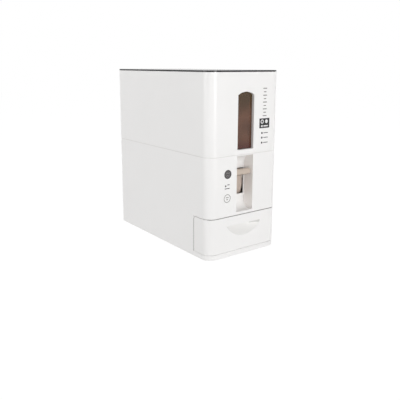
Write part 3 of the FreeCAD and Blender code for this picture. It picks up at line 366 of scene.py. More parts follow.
@dataclass(frozen=True)
class TintedAcrylic:
    """Cast acrylic with a brown tint: clear enough to see a level through, with a darker border that is
    painted shade where the reveal shadows its edges.
    """

    name: str
    colour: str
    head_tint: str
    foot_tint: str
    border: str
    clear: float
    half_width_mm: float
    foot_mm: float
    head_mm: float
    fade_mm: float = 3.0
    head_tint_mm: float = 60.0
    foot_tint_mm: float = 30.0
    cloud_mm: float = 45.0
    cloud_dark: float = 0.65
    cloud_light: float = 1.2
    roughness: float = 0.06
    ior: float = 1.49
    wave_mm: float = 25.0
    wave_depth_mm: float = 0.02
    wave_strength: float = 0.2

    def make(self) -> Material:
        """Makes the material.

        Returns:
            The tinted pane.
        """
        material, tree, shader, place = new_material(self.name)
        split = add_node(tree, "ShaderNodeSeparateXYZ", links={0: place})
        x, _, z = split.outputs
        outwards = add_node(tree, "ShaderNodeMath", {"operation": "ABSOLUTE"}, {0: x}).outputs[0]
        edges = [
            self.edge(tree, outwards, self.half_width_mm, self.fade_mm),
            self.edge(tree, z, self.head_mm, self.fade_mm),
            self.edge(tree, z, self.foot_mm, -self.fade_mm),
        ]
        rim = edges[0]
        for other in edges[1:]:
            join = {"operation": "MAXIMUM"}
            rim = add_node(tree, "ShaderNodeMath", join, {0: rim, 1: other}).outputs[0]
        # the tint varies from place to place, as it does where the store behind is uneven
        cloud = add_node(tree, "ShaderNodeTexNoise", pattern(self.cloud_mm, 1.0), {"Vector": place})
        level = add_node(tree, "ShaderNodeMapRange", stretched(0.0, 1.0), {"Value": cloud.outputs["Fac"]})
        ends = tints(self.colour, self.cloud_dark, self.cloud_light)
        tint = add_node(tree, "ShaderNodeMix", ends, {FACTOR: level.outputs["Result"]}).outputs[MIXED]
        # darker and more olive towards the head, darker and redder towards the foot, and painted shade along
        # the border where the reveal shadows the pane
        layers = (
            (self.edge(tree, z, self.head_mm, self.head_tint_mm), self.head_tint),
            (self.edge(tree, z, self.foot_mm, -self.foot_tint_mm), self.foot_tint),
            (rim, self.border),
        )
        for mask, tone in layers:
            tint = add_node(tree, "ShaderNodeMix", over(tone), {FACTOR: mask, LOW: tint}).outputs[MIXED]
        tree.links.new(tint, shader.inputs["Base Color"])
        settings = {"From Min": 0.0, "From Max": 1.0, "To Min": self.clear, "To Max": 0.0}
        through = add_node(tree, "ShaderNodeMapRange", settings, {"Value": rim}).outputs["Result"]
        tree.links.new(through, shader.inputs["Transmission Weight"])
        shader.inputs["Roughness"].default_value = self.roughness
        shader.inputs["IOR"].default_value = self.ior
        wave = add_node(tree, "ShaderNodeTexNoise", pattern(self.wave_mm), {"Vector": place})
        depth = relief(self.wave_depth_mm, self.wave_strength)
        bump = add_node(tree, "ShaderNodeBump", depth, {"Height": wave.outputs["Fac"]})
        tree.links.new(bump.outputs["Normal"], shader.inputs["Normal"])
        return material

    def edge(self, tree: Tree, value: Socket, limit_mm: float, fade_mm: float) -> Socket:
        """Darkens the pane towards one edge.

        Args:
            tree: the node tree.
            value: the distance along which the edge lies.
            limit_mm: where the edge is.
            fade_mm: how far the darkening reaches, negative where the edge is at the low end.

        Returns:
            A value that rises from 0 to 1 over the last millimetres.
        """
        settings = {
            "interpolation_type": "SMOOTHSTEP",
            "From Min": (limit_mm - fade_mm) * MM,
            "From Max": limit_mm * MM,
        }
        return add_node(tree, "ShaderNodeMapRange", settings, {"Value": value}).outputs["Result"]


@dataclass(frozen=True)
class DrawnSteel:
    """Cold-drawn, nickel-plated steel: a grey metal with fine lines along the wire or bar."""

    name: str
    colour: str = "#B4B4B6"
    roughness: float = 0.3
    line_mm: float = 0.6
    line_stretch: float = 0.05
    line_dark: float = 0.85
    line_light: float = 1.1
    roughness_drift: float = 0.08
    line_depth_mm: float = 0.01
    line_strength: float = 0.3

    def make(self) -> Material:
        """Makes the material.

        Returns:
            The plated steel.
        """
        material, tree, shader, place = new_material(self.name)
        # drawn wire: the die leaves lines along it, so it shines in streaks
        stretch = {"Scale": (self.line_stretch, 1.0, 1.0)}
        along = add_node(tree, "ShaderNodeMapping", stretch, {"Vector": place}).outputs[0]
        # the real lines are a few hundredths wide, and are drawn coarser so that they show
        drawn = add_node(tree, "ShaderNodeTexNoise", pattern(self.line_mm, 3.0), {"Vector": along})
        lines = drawn.outputs["Fac"]
        ends = tints(self.colour, self.line_dark, self.line_light)
        colour = add_node(tree, "ShaderNodeMix", ends, {FACTOR: lines}).outputs[MIXED]
        tree.links.new(colour, shader.inputs["Base Color"])
        shader.inputs["Metallic"].default_value = 1.0
        ends = stretched(self.roughness - self.roughness_drift, self.roughness + self.roughness_drift)
        rough = add_node(tree, "ShaderNodeMapRange", ends, {"Value": lines}).outputs["Result"]
        tree.links.new(rough, shader.inputs["Roughness"])
        depth = relief(self.line_depth_mm, self.line_strength)
        bump = add_node(tree, "ShaderNodeBump", depth, {"Height": lines})
        tree.links.new(bump.outputs["Normal"], shader.inputs["Normal"])
        return material


@dataclass(frozen=True)
class MouldedRubber:
    """Moulded elastomer: matt, slightly dusty in soft patches and finely pebbled."""

    name: str
    colour: str
    dust: str
    roughness: float = 0.78
    pebble_mm: float = 0.7
    pebble_depth_mm: float = 0.05
    pebble_strength: float = 0.4
    dust_mm: float = 12.0
    dust_share: float = 0.35
    ior: float = 1.52

    def make(self) -> Material:
        """Makes the material.

        Returns:
            The rubber.
        """
        material, tree, shader, place = new_material(self.name)
        # moulded rubber: dust settles in soft patches, and a fine pebble breaks up what shine there is
        settled = add_node(tree, "ShaderNodeTexNoise", pattern(self.dust_mm, 4.0), {"Vector": place})
        share = stretched(0.0, self.dust_share)
        dusting = add_node(tree, "ShaderNodeMapRange", share, {"Value": settled.outputs["Fac"]})
        ends = {"data_type": "RGBA", LOW: linear(self.colour), HIGH: linear(self.dust)}
        colour = add_node(tree, "ShaderNodeMix", ends, {FACTOR: dusting.outputs["Result"]}).outputs[MIXED]
        tree.links.new(colour, shader.inputs["Base Color"])
        shader.inputs["Roughness"].default_value = self.roughness
        shader.inputs["IOR"].default_value = self.ior
        pebbles = add_node(tree, "ShaderNodeTexNoise", pattern(self.pebble_mm, 1.0), {"Vector": place})
        depth = relief(self.pebble_depth_mm, self.pebble_strength)
        bump = add_node(tree, "ShaderNodeBump", depth, {"Height": pebbles.outputs["Fac"]})
        tree.links.new(bump.outputs["Normal"], shader.inputs["Normal"])
        return material


# ---------------------------------------------------------------- printed marks, and painted light and shade


def level_ticks(
    across: float,
    low: float,
    high: float,
    count: int,
    widths: tuple[float, float] = (11.0, 7.0),
    stroke: float = 2.0,
) -> tuple[Mark, ...]:
    """A plain scale of level lines, every other one long.

    Args:
        across: the middle of the scale.
        low: the lowest line's height.
        high: the highest line's height.
        count: how many lines it has.
        widths: how wide the long and the short lines are.
        stroke: how thick they are.

    Returns:
        The lines as marks.
    """
    step = (high - low) / (count - 1)
    heights = [low + number * step for number in range(count)]
    return tuple(
        Mark(MarkShape.BAR, across, up, widths[number % 2], stroke, PALE_INK)
        for number, up in enumerate(heights)
    )


def dotted_lines(
    across: float,
    heights: tuple[float, ...],
    dot: float = 4.6,
    rule: float = 13.0,
    stroke: float = 1.5,
) -> tuple[Mark, ...]:
    """Short rules with a dot before each.

    Args:
        across: the middle of a dot with its rule.
        heights: how high each one is.
        dot: how wide a dot is.
        rule: how long a rule is.
        stroke: how thick it is.

    Returns:
        The dots and rules as marks.
    """
    marks = []
    for up in heights:
        marks.append(Mark(MarkShape.DISC, across - DOT_OFFSET, up, dot))
        marks.append(Mark(MarkShape.BAR, across + RULE_OFFSET, up, rule, stroke))
    return tuple(marks)


LOWER_MARKS = (
    Mark(MarkShape.DISC, -47.0, 182.4, 19.0),
    Mark(MarkShape.RING, -47.0, 182.4, 12.0, 1.0, PALE_INK),
    Mark(MarkShape.BAR, -47.0, 184.4, 7.0, 1.4, PALE_INK),
    Mark(MarkShape.BAR, -47.0, 180.6, 5.0, 1.4, PALE_INK),
    Mark(MarkShape.BAR, -45.0, 160.2, 6.0, 1.6),
    Mark(MarkShape.DISC, -52.5, 158.0, 4.0),
    Mark(MarkShape.BAR, -48.5, 152.4, 13.0, 1.6),
    Mark(MarkShape.RING, -48.0, 131.0, 18.0, 1.4, PALE_INK),
    Mark(MarkShape.BAR, -48.0, 133.0, 8.0, 1.6, PALE_INK),
    Mark(MarkShape.BAR, -48.0, 128.6, 5.0, 1.6, PALE_INK),
)
UPPER_MARKS = (
    *level_ticks(53.0, 299.0, 357.0, 9),
    Mark(MarkShape.BAR, 53.0, 283.0, 29.0, 21.0, BLACK_INK),
    Mark(MarkShape.RING, 46.6, 286.6, 9.0, 2.0, WHITE_INK),
    Mark(MarkShape.DISC, 59.0, 286.6, 8.0, ink=WHITE_INK),
    Mark(MarkShape.DISC, 46.0, 277.0, 4.5, ink=WHITE_INK),
    Mark(MarkShape.BAR, 57.0, 277.0, 13.0, 2.6, WHITE_INK),
    *dotted_lines(53.5, (262.0, 252.0, 241.0)),
)

# the white shell's own colour and gloss, with painted light on the recess walls, painted shade on parted
# faces, open gaps and the finger pull's hollow, and a painted shadow under its lip
SHELL_WHITE = "#F0EFEE"
PAINTED_LIGHT_WHITE = "#FEFAF7"
PAINTED_SEAM_SHADE = "#DFDDDB"
PAINTED_GAP_SHADE = "#8C8A88"
PAINTED_HOLLOW_SHADE = "#EAE9E7"
PAINTED_LIP_SHADOW = "#C9C7C5"
SHELL_ROUGHNESS = 0.32

# the lever's own beige on its bar, with painted shade on the shield behind it and on the bar's underside
BAR_BEIGE = "#C4B5A7"
PAINTED_SHIELD_SHADE = "#BEAFA4"
PAINTED_UNDERSIDE_SHADE = "#8F8379"

# how deep the recess, the finger pull, the lever's bar and its shield reach from the front
RECESS_Y = (-192.3, -160.0)
PULL_Y = (-192.3, -172.0)
BAR_Y = (-188.0, -166.0)
SHIELD_Y = (-166.0, -100.0)

LOWER_PAINTED_LIGHT = (
    # painted light on the recess's side walls, lighter than the shell's white
    PaintedLightBox(PAINTED_LIGHT_WHITE, x=(-22.7, -22.3), y=RECESS_Y, z=(96.0, 219.0)),
    PaintedLightBox(PAINTED_LIGHT_WHITE, x=(22.3, 22.7), y=RECESS_Y, z=(96.0, 219.0)),
    # painted shade on the rim that meets the upper shell, and on the edges that the drawer's sides meet
    PaintedLightBox(PAINTED_SEAM_SHADE, z=(219.9, 220.7)),
    PaintedLightBox(PAINTED_GAP_SHADE, y=(-141.2, -140.7), z=(11.0, 92.0)),
)
# painted shade on the upper shell's rim where it meets the lower one
UPPER_PAINTED_SHADE = (PaintedLightBox(PAINTED_SEAM_SHADE, z=(220.3, 221.1)),)
DRAWER_PAINTED_SHADE = (
    # painted shade on the top edge where it passes the front and on the finger pull's hollow, and a painted
    # shadow under its lip
    PaintedLightBox(PAINTED_GAP_SHADE, y=(-192.6, -183.0), z=(89.6, 90.0)),
    PaintedLightBox(PAINTED_HOLLOW_SHADE, x=(-50.0, 50.0), y=PULL_Y, z=(42.0, 70.0)),
    PaintedLightBox(PAINTED_LIP_SHADOW, x=(22.0, 47.0), y=PULL_Y, z=(63.8, 69.4)),
)
# painted shade on the shield behind the bar and on the bar's underside
LEVER_PAINTED_SHADE = (
    PaintedLightBox(PAINTED_SHIELD_SHADE, y=SHIELD_Y),
    PaintedLightBox(PAINTED_UNDERSIDE_SHADE, y=BAR_Y, z=(171.9, 175.2)),
)


# ---------------------------------------------------------------- the object's finishes


# moulded against a polished tool: even and white, with a soft gloss
SHELL_LOWER = MouldedPlastic(
    "gloss ABS, lower shell", SHELL_WHITE, SHELL_ROUGHNESS, marks=LOWER_MARKS, painted_light=LOWER_PAINTED_LIGHT
)
SHELL_UPPER = MouldedPlastic(
    "gloss ABS, upper shell", SHELL_WHITE, SHELL_ROUGHNESS, marks=UPPER_MARKS, painted_light=UPPER_PAINTED_SHADE
)
SHELL_PLAIN = MouldedPlastic(
    "gloss ABS, drawer face", SHELL_WHITE, SHELL_ROUGHNESS, painted_light=DRAWER_PAINTED_SHADE
)
# moulded against a plain tool: a little waxy, with a dull sheen
INNER = MouldedPlastic(
    "satin polypropylene",
    "#E9E5DE",
    roughness=0.45,
    ior=1.49,
    ripple_mm=8.0,
    ripple_depth_mm=0.03,
    ripple_strength=0.2,
    drift=0.015,
)
# polished after moulding: nearly black, and it mirrors what is round it
LID_SKIN = MouldedPlastic(
    "polished charcoal ABS",
    "#17171A",
    roughness=0.14,
    ior=1.42,
    ripple_mm=14.0,
    ripple_depth_mm=0.01,
    ripple_strength=0.2,
    drift=0.02,
)
# moulded with a light satin, which fingers keep smooth
LEVER_SKIN = MouldedPlastic(
    "warm grey ABS",
    BAR_BEIGE,
    roughness=0.38,
    ripple_mm=8.0,
    ripple_strength=0.2,
    drift=0.015,
    painted_light=LEVER_PAINTED_SHADE,
)
# cast sheet: flat and clear, and the store seen behind it darkens it; the tint is also darker towards head
# and foot, and the border is painted shade
PANE = TintedAcrylic(
    "brown acrylic",
    colour="#885C44",
    head_tint="#644820",
    foot_tint="#6B2F20",
    border="#33251F",
    clear=0.55,
    half_width_mm=22.0,
    foot_mm=231.0,
    head_mm=351.5,
)
# plated bar and wire: grey, with a muted shine
STEEL = DrawnSteel("plated steel")
SPRING_WIRE = DrawnSteel("spring wire", "#A9A9AB", roughness=0.36, line_mm=0.4)
# moulded elastomers: matt and soft to the eye
FOOT_RUBBER = MouldedRubber("black rubber", "#2B2B2C", "#55534F")
SEAL_RUBBER = MouldedRubber("grey silicone", "#B9B7B2", "#D0CEC8", roughness=0.6, pebble_mm=1.2)


# ---------------------------------------------------------------- putting finishes on pieces


class Workshop:
    """Hands out each finish once and puts it on pieces."""

    def __init__(self) -> None:
        """Starts with no material made."""
        self.made: dict[str, Material] = {}

    def finish(self, finish: Finish) -> Material:
        """The material of a finish, made the first time it is asked for.

        Args:
            finish: what the piece is made of.

        Returns:
            Its material.
        """
        name = finish.name
        if name not in self.made:
            self.made[name] = finish.make()
        return self.made[name]

    def dress(self, node: str, finish: Finish) -> None:
        """Gives one node of the frame its finish and smooth shading.

        Args:
            node: the node's name.
            finish: what it is made of.
        """
        piece = frame["nodes"][node]
        material = self.finish(finish)
        for place in piece.material_slots:
            place.material = material
        weld_and_smooth(piece)
        LOG.info("dressed %s with %s", node, finish.name)

    def make_piece(self, name: str, shape: bmesh.types.BMesh, finish: Finish) -> Object:
        """Makes a detailed piece in its finish.

        Args:
            name: the piece's name.
            shape: its mesh, which is freed.
            finish: what it is made of.

        Returns:
            The new piece.
        """
        piece = new_piece(name, shape)
        piece.data.materials.append(self.finish(finish))
        weld_and_smooth(piece)
        LOG.info("made %s of %s", name, finish.name)
        return piece

    def stand_in(self, name: str, shape: bmesh.types.BMesh, node: str, finish: Finish) -> None:
        """Puts a detailed piece where a plain node is.

        Args:
            name: the piece's name.
            shape: its mesh, which is freed.
            node: the node that it stands for.
            finish: what it is made of.
        """
        piece = self.make_piece(name, shape, finish)
        bodies = frame["record"]["behaviour"]["bodies"]
        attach(piece, next(body for body, nodes in bodies.items() if node in nodes))
        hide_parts(node)


def solids_of(node: str) -> list[tuple[Vector, Vector]]:
    """Finds the box round each solid of a node.

    Args:
        node: the node's name.

    Returns:
        The lowest and highest corner of each solid.
    """
    shape = bmesh.new()
    shape.from_mesh(frame["nodes"][node].data)
    bmesh.ops.remove_doubles(shape, verts=shape.verts, dist=LOOSE_GAP)
    left = set(shape.verts)
    boxes = []
    while left:
        waiting, found = [left.pop()], []
        while waiting:
            vert = waiting.pop()
            found.append(vert.co.copy())
            fresh = {edge.other_vert(vert) for edge in vert.link_edges} & left
            left -= fresh
            waiting.extend(fresh)
        low = Vector([min(place[axis] for place in found) for axis in range(3)])
        high = Vector([max(place[axis] for place in found) for axis in range(3)])
        boxes.append((low, high))
    shape.free()
    return sorted(boxes, key=lambda box: tuple(box[0]))


def turned(outline: list[tuple[float, float]], steps: int) -> bmesh.types.BMesh:
    """Turns an outline round the upright axis.

    Args:
        outline: distances from the axis and heights, in millimetres.
        steps: how many faces go round.

    Returns:
        The closed shape.
    """
    shape = bmesh.new()
    verts = [shape.verts.new((across * MM, 0.0, up * MM)) for across, up in outline]
    edges = [shape.edges.new(pair) for pair in zip(verts, verts[1:])]
    axis = {"cent": (0.0, 0.0, 0.0), "axis": (0.0, 0.0, 1.0), "angle": math.tau}
    bmesh.ops.spin(shape, geom=verts + edges, steps=steps, use_merge=True, use_duplicate=False, **axis)
    bmesh.ops.remove_doubles(shape, verts=shape.verts, dist=TURNED_GAP)
    bmesh.ops.recalc_face_normals(shape, faces=shape.faces)
    return shape


def add_copy(target: bmesh.types.BMesh, part: bmesh.types.BMesh, place: Matrix) -> None:
    """Adds a shape to another one at a place.

    Args:
        target: what it joins.
        part: the shape, which is freed.
        place: its turn and move.
    """
    bmesh.ops.transform(part, matrix=place, verts=part.verts)
    mesh = bpy.data.meshes.new("copy")
    part.to_mesh(mesh)
    part.free()
    target.from_mesh(mesh)
    bpy.data.meshes.remove(mesh)


def smoothing_group() -> Tree:
    """Makes the modifier that shades curved faces smooth and keeps sharp edges crisp.

    Returns:
        The node group, made once.
    """
    name = "Smooth curves"
    if name in bpy.data.node_groups:
        return bpy.data.node_groups[name]
    group = bpy.data.node_groups.new(name, "GeometryNodeTree")
    group.interface.new_socket("Geometry", in_out="INPUT", socket_type="NodeSocketGeometry")
    group.interface.new_socket("Geometry", in_out="OUTPUT", socket_type="NodeSocketGeometry")
    start = add_node(group, "NodeGroupInput")
    angle = add_node(group, "GeometryNodeInputMeshEdgeAngle")
    limit = {"data_type": "FLOAT", "operation": "GREATER_THAN", 1: CRISP_ANGLE}
    sharp = add_node(group, "FunctionNodeCompare", limit, {0: angle.outputs["Unsigned Angle"]})
    faces = add_node(
        group,
        "GeometryNodeSetShadeSmooth",
        {"domain": "FACE", "Shade Smooth": True},
        {"Geometry": start.outputs["Geometry"]},
    )
    edges = add_node(
        group,
        "GeometryNodeSetShadeSmooth",
        {"domain": "EDGE", "Shade Smooth": False},
        {"Geometry": faces.outputs["Geometry"], "Selection": sharp.outputs["Result"]},
    )
    add_node(group, "NodeGroupOutput", links={"Geometry": edges.outputs["Geometry"]})
    return group


def weld_and_smooth(piece: Object) -> None:
    """Closes loose triangles and shades curves smooth, both by modifiers.

    Args:
        piece: the object, a node's or a new one.
    """
    weld = piece.modifiers.new("Weld", "WELD")
    weld.merge_threshold = LOOSE_GAP
    smooth = piece.modifiers.new("Smooth curves", "NODES")
    smooth.node_group = smoothing_group()


# ---------------------------------------------------------------- sub-assemblies


@dataclass
class Housing:
    """The two halves of the white shell."""

    workshop: Workshop

    def build(self) -> None:
        """Dresses both shells with their printed marks."""
        self.workshop.dress("lower_housing", SHELL_LOWER)
        self.workshop.dress("upper_housing", SHELL_UPPER)


@dataclass
class Lid:
    """The flip lid with its liner, seal and hinge pins."""

    workshop: Workshop

    def build(self) -> None:
        """Dresses the lid's pieces."""
        self.workshop.dress("lid_panel", LID_SKIN)
        self.workshop.dress("lid_liner", INNER)
        self.workshop.dress("lid_seal", SEAL_RUBBER)
        self.workshop.dress("hinge_pins", STEEL)


@dataclass
class Store:
    """The lift-out hopper and the pane that shows its level."""

    workshop: Workshop

    def build(self) -> None:
        """Dresses the hopper and the pane."""
        self.workshop.dress("hopper", INNER)
        self.workshop.dress("window_pane", PANE)


@dataclass
class MeasuringGate:
    """The rocker, its chamber and chute, and the lever that works them."""

    workshop: Workshop
    moulded: tuple[str, ...] = ("pivot_bracket", "metering_chamber", "outlet_chute", "metering_rocker")
    wire_radius: float = 0.6
    wire_sides: int = 10
    turns: int = 9
    steps_per_turn: int = 28

    def build(self) -> None:
        """Dresses the mechanism and winds its spring."""
        for node in self.moulded:
            self.workshop.dress(node, INNER)
        self.workshop.dress("lever", LEVER_SKIN)
        self.workshop.dress("pivot_pins", STEEL)
        self.build_spring()

    def build_spring(self) -> None:
        """Winds the return spring where the plain one hangs, between the deck and the rocker's lug."""
        low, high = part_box("return_spring")
        middle = (low + high) / 2
        foot, head = Vector((middle.x, middle.y, low.z)), Vector((middle.x, middle.y, high.z))
        coil = self.coil((high.x - low.x) / 2, high.z - low.z)
        bmesh.ops.translate(coil, vec=foot, verts=coil.verts)
        spring = self.workshop.make_piece("wound_spring", coil, SPRING_WIRE)
        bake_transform(spring)
        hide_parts("return_spring")

    def coil(self, radius: float, height: float) -> bmesh.types.BMesh:
        """Winds round wire into an upright coil.

        Args:
            radius: the coil's outer radius, in metres.
            height: its height, in metres.

        Returns:
            The coil, with its foot at the origin.
        """
        wire = self.wire_radius * MM
        shape = bmesh.new()
        place = Matrix.Translation((radius - wire, 0.0, wire)) @ Matrix.Rotation(math.pi / 2, 4, "X")
        bmesh.ops.create_circle(shape, segments=self.wire_sides, radius=wire, matrix=place)
        steps = self.turns * self.steps_per_turn
        rise = (0.0, 0.0, (height - 2 * wire) / steps)
        axis = {"cent": (0.0, 0.0, 0.0), "axis": (0.0, 0.0, 1.0), "angle": math.tau * self.turns}
        bmesh.ops.spin(shape, geom=shape.verts[:] + shape.edges[:], dvec=rise, steps=steps, **axis)
        ends = [edge for edge in shape.edges if edge.is_boundary]
        bmesh.ops.holes_fill(shape, edges=ends, sides=0)
        bmesh.ops.recalc_face_normals(shape, faces=shape.faces)
        return shape


@dataclass
class Drawer:
    """The drawer's face and its rice tray."""

    workshop: Workshop

    def build(self) -> None:
        """Dresses the drawer."""
        self.workshop.dress("drawer_front", SHELL_PLAIN)
        self.workshop.dress("drawer_tray", INNER)


@dataclass
class Base:
    """The base, the deck above the drawer and the feet."""

    workshop: Workshop
    foot_radius: float = 8.0
    foot_thickness: float = 3.0
    tread_depth: float = 0.4
    edge: float = 0.5
    ring_shares: tuple[float, ...] = (0.34, 0.40, 0.54, 0.60, 0.74, 0.80)
    sides: int = 40

    def build(self) -> None:
        """Dresses what the dispenser stands on and makes the feet."""
        self.workshop.dress("base_frame", INNER)
        self.workshop.dress("mid_deck", INNER)
        feet = bmesh.new()
        for low, high in solids_of("rubber_feet"):
            middle = (low + high) / 2
            add_copy(feet, self.foot(), Matrix.Translation((middle.x, middle.y, low.z)))
        self.workshop.stand_in("ringed_feet", feet, "rubber_feet", FOOT_RUBBER)

    def foot(self) -> bmesh.types.BMesh:
        """One foot with two raised rings on its sole and a rounded shoulder.

        Returns:
            The foot, with its sole at the origin.
        """
        radius, top, step = self.foot_radius, self.foot_thickness, self.tread_depth
        heights = (step, 0.0, 0.0, step, step, 0.0)
        outline = [
            (0.0, step),
            *[(radius * share, height) for share, height in zip(self.ring_shares, heights)],
            (radius - self.edge, 0.0),
            (radius, self.edge),
            (radius, top - self.edge),
            (radius - self.edge, top),
            (0.0, top),
        ]
        return turned(outline, self.sides)


@dataclass
class Fasteners:
    """Pan-head thread-forming screws with a cross recess."""

    workshop: Workshop
    root_radius: float = 1.15
    crest_radius: float = 1.5
    pitch: float = 1.0
    point: float = 2.0
    head_radius: float = 2.8
    head_height: float = 1.8
    recess_width: float = 0.75
    recess_reach: float = 1.5
    recess_depth: float = 1.1
    sides: int = 24
    # shares of the root's radius and the point's length, and of the head's radius and height
    point_profile: tuple[tuple[float, float], ...] = ((0.0, 0.0), (0.4, 0.1), (1.0, 1.0))
    head_profile: tuple[tuple[float, float], ...] = (
        (1.0, 0.0),
        (1.0, 0.45),
        (0.88, 0.78),
        (0.64, 0.94),
        (0.50, 1.0),
        (0.0, 1.0),
    )
    nodes: tuple[str, ...] = (
        "base_screws",
        "seam_screws",
        "bracket_screws",
        "chamber_screws",
        "drawer_screws",
    )

    def build(self) -> None:
        """Makes a detailed set of screws for each node of plain ones."""
        for node in self.nodes:
            self.build_set(node)

    def build_set(self, node: str) -> None:
        """Puts a detailed screw where each plain one of a node is.

        Args:
            node: the node whose screws are replaced.
        """
        spots = solids_of(node)
        size = spots[0][1] - spots[0][0]
        screw = self.screw(max(size) / MM)
        screws = bmesh.new()
        for low, high in spots:
            add_copy(screws, screw.copy(), self.seat(node, low, high))
        screw.free()
        self.workshop.stand_in(f"{node}_cross_head", screws, node, STEEL)

    def seat(self, node: str, low: Vector, high: Vector) -> Matrix:
        """Works out where a screw's point lies and which way it looks.

        Args:
            node: the node that the screw belongs to.
            low: the lowest corner round the plain screw.
            high: the highest corner round it.

        Returns:
            The turn and move from the origin to the screw's place.
        """
        size = high - low
        along = max(range(3), key=lambda axis: size[axis])
        middle = (low + high) / 2
        head_is_high = self.wide_end(node, low, high, along)
        tip = middle.copy()
        tip[along] = low[along] if head_is_high else high[along]
        way = Vector((0.0, 0.0, 0.0))
        way[along] = 1.0 if head_is_high else -1.0
        return Matrix.Translation(tip) @ way.to_track_quat("Z", "Y").to_matrix().to_4x4()

    def wide_end(self, node: str, low: Vector, high: Vector, along: int) -> bool:
        """Tells which end of a plain screw carries the head.

        Args:
            node: the node that the screw belongs to.
            low: the lowest corner round it.
            high: the highest corner round it.
            along: the axis that it lies on.

        Returns:
            True where the head is at the high end.
        """
        middle = (low + high) / 2
        limit = (self.crest_radius + self.head_radius) / 2 * MM
        for vert in frame["nodes"][node].data.vertices:
            away = vert.co - middle
            height = away[along]
            away[along] = 0.0
            inside = all(low[axis] <= vert.co[axis] <= high[axis] for axis in range(3))
            if inside and away.length > limit:
                return height > 0
        return True

    def screw(self, length: float) -> bmesh.types.BMesh:
        """One screw with its point at the origin and its head upwards.

        Args:
            length: from the point to the top of the head, in millimetres.

        Returns:
            The screw with its cross recess cut.
        """
        under = length - self.head_height
        outline = [(self.root_radius * across, self.point * up) for across, up in self.point_profile]
        height = self.point + self.pitch / 2
        while height + self.pitch / 2 < under:
            outline += [(self.crest_radius, height), (self.root_radius, height + self.pitch / 2)]
            height += self.pitch
        outline.append((self.root_radius, under))
        for across, up in self.head_profile:
            outline.append((self.head_radius * across, under + self.head_height * up))
        return self.cut_recess(turned(outline, self.sides), length)

    def cut_recess(self, screw: bmesh.types.BMesh, length: float) -> bmesh.types.BMesh:
        """Cuts the driver's cross into the head.

        Args:
            screw: the screw, which is freed.
            length: where the top of the head is, in millimetres.

        Returns:
            The cut screw.
        """
        cross = bmesh.new()
        bmesh.ops.create_cube(cross, size=1.0)
        size = Vector((self.recess_width, self.recess_width, self.recess_depth * 2)) * MM
        bmesh.ops.scale(cross, vec=size, verts=cross.verts)
        sides = [face for face in cross.faces if not round(face.normal.z)]
        for face in bmesh.ops.extrude_discrete_faces(cross, faces=sides)["faces"]:
            reach = face.normal * (self.recess_reach - self.recess_width / 2) * MM
            bmesh.ops.translate(cross, vec=reach, verts=face.verts)
        bmesh.ops.translate(cross, vec=(0.0, 0.0, length * MM), verts=cross.verts)
        body, tool = new_piece("screw_blank", screw), new_piece("driver_cross", cross)
        cut = body.modifiers.new("Cross recess", "BOOLEAN")
        cut.operation, cut.solver, cut.object = "DIFFERENCE", "EXACT", tool
        evaluated = body.evaluated_get(bpy.context.evaluated_depsgraph_get())
        finished = bpy.data.meshes.new_from_object(evaluated)
        result = bmesh.new()
        result.from_mesh(finished)
        for spare in (body, tool):
            bpy.data.objects.remove(spare)
        return result


# ---------------------------------------------------------------- studio and camera


@dataclass(frozen=True)
class Softbox:
    """One square soft lamp: where it hangs and how wide it is, in metres, and its watts."""

    name: str
    place: tuple[float, float, float]
    size: float
    power: float

    def hang(self, aim: tuple[float, float, float]) -> None:
        """Makes the lamp.

        Args:
            aim: the point that it faces.
        """
        data = bpy.data.lights.new(self.name, "AREA")
        data.size = self.size
        data.energy = self.power
        lamp = bpy.data.objects.new(self.name, data)
        turn = (Vector(aim) - Vector(self.place)).to_track_quat("-Z", "Y").to_matrix().to_4x4()
        lamp.matrix_world = Matrix.Translation(self.place) @ turn
        bpy.context.scene.collection.objects.link(lamp)


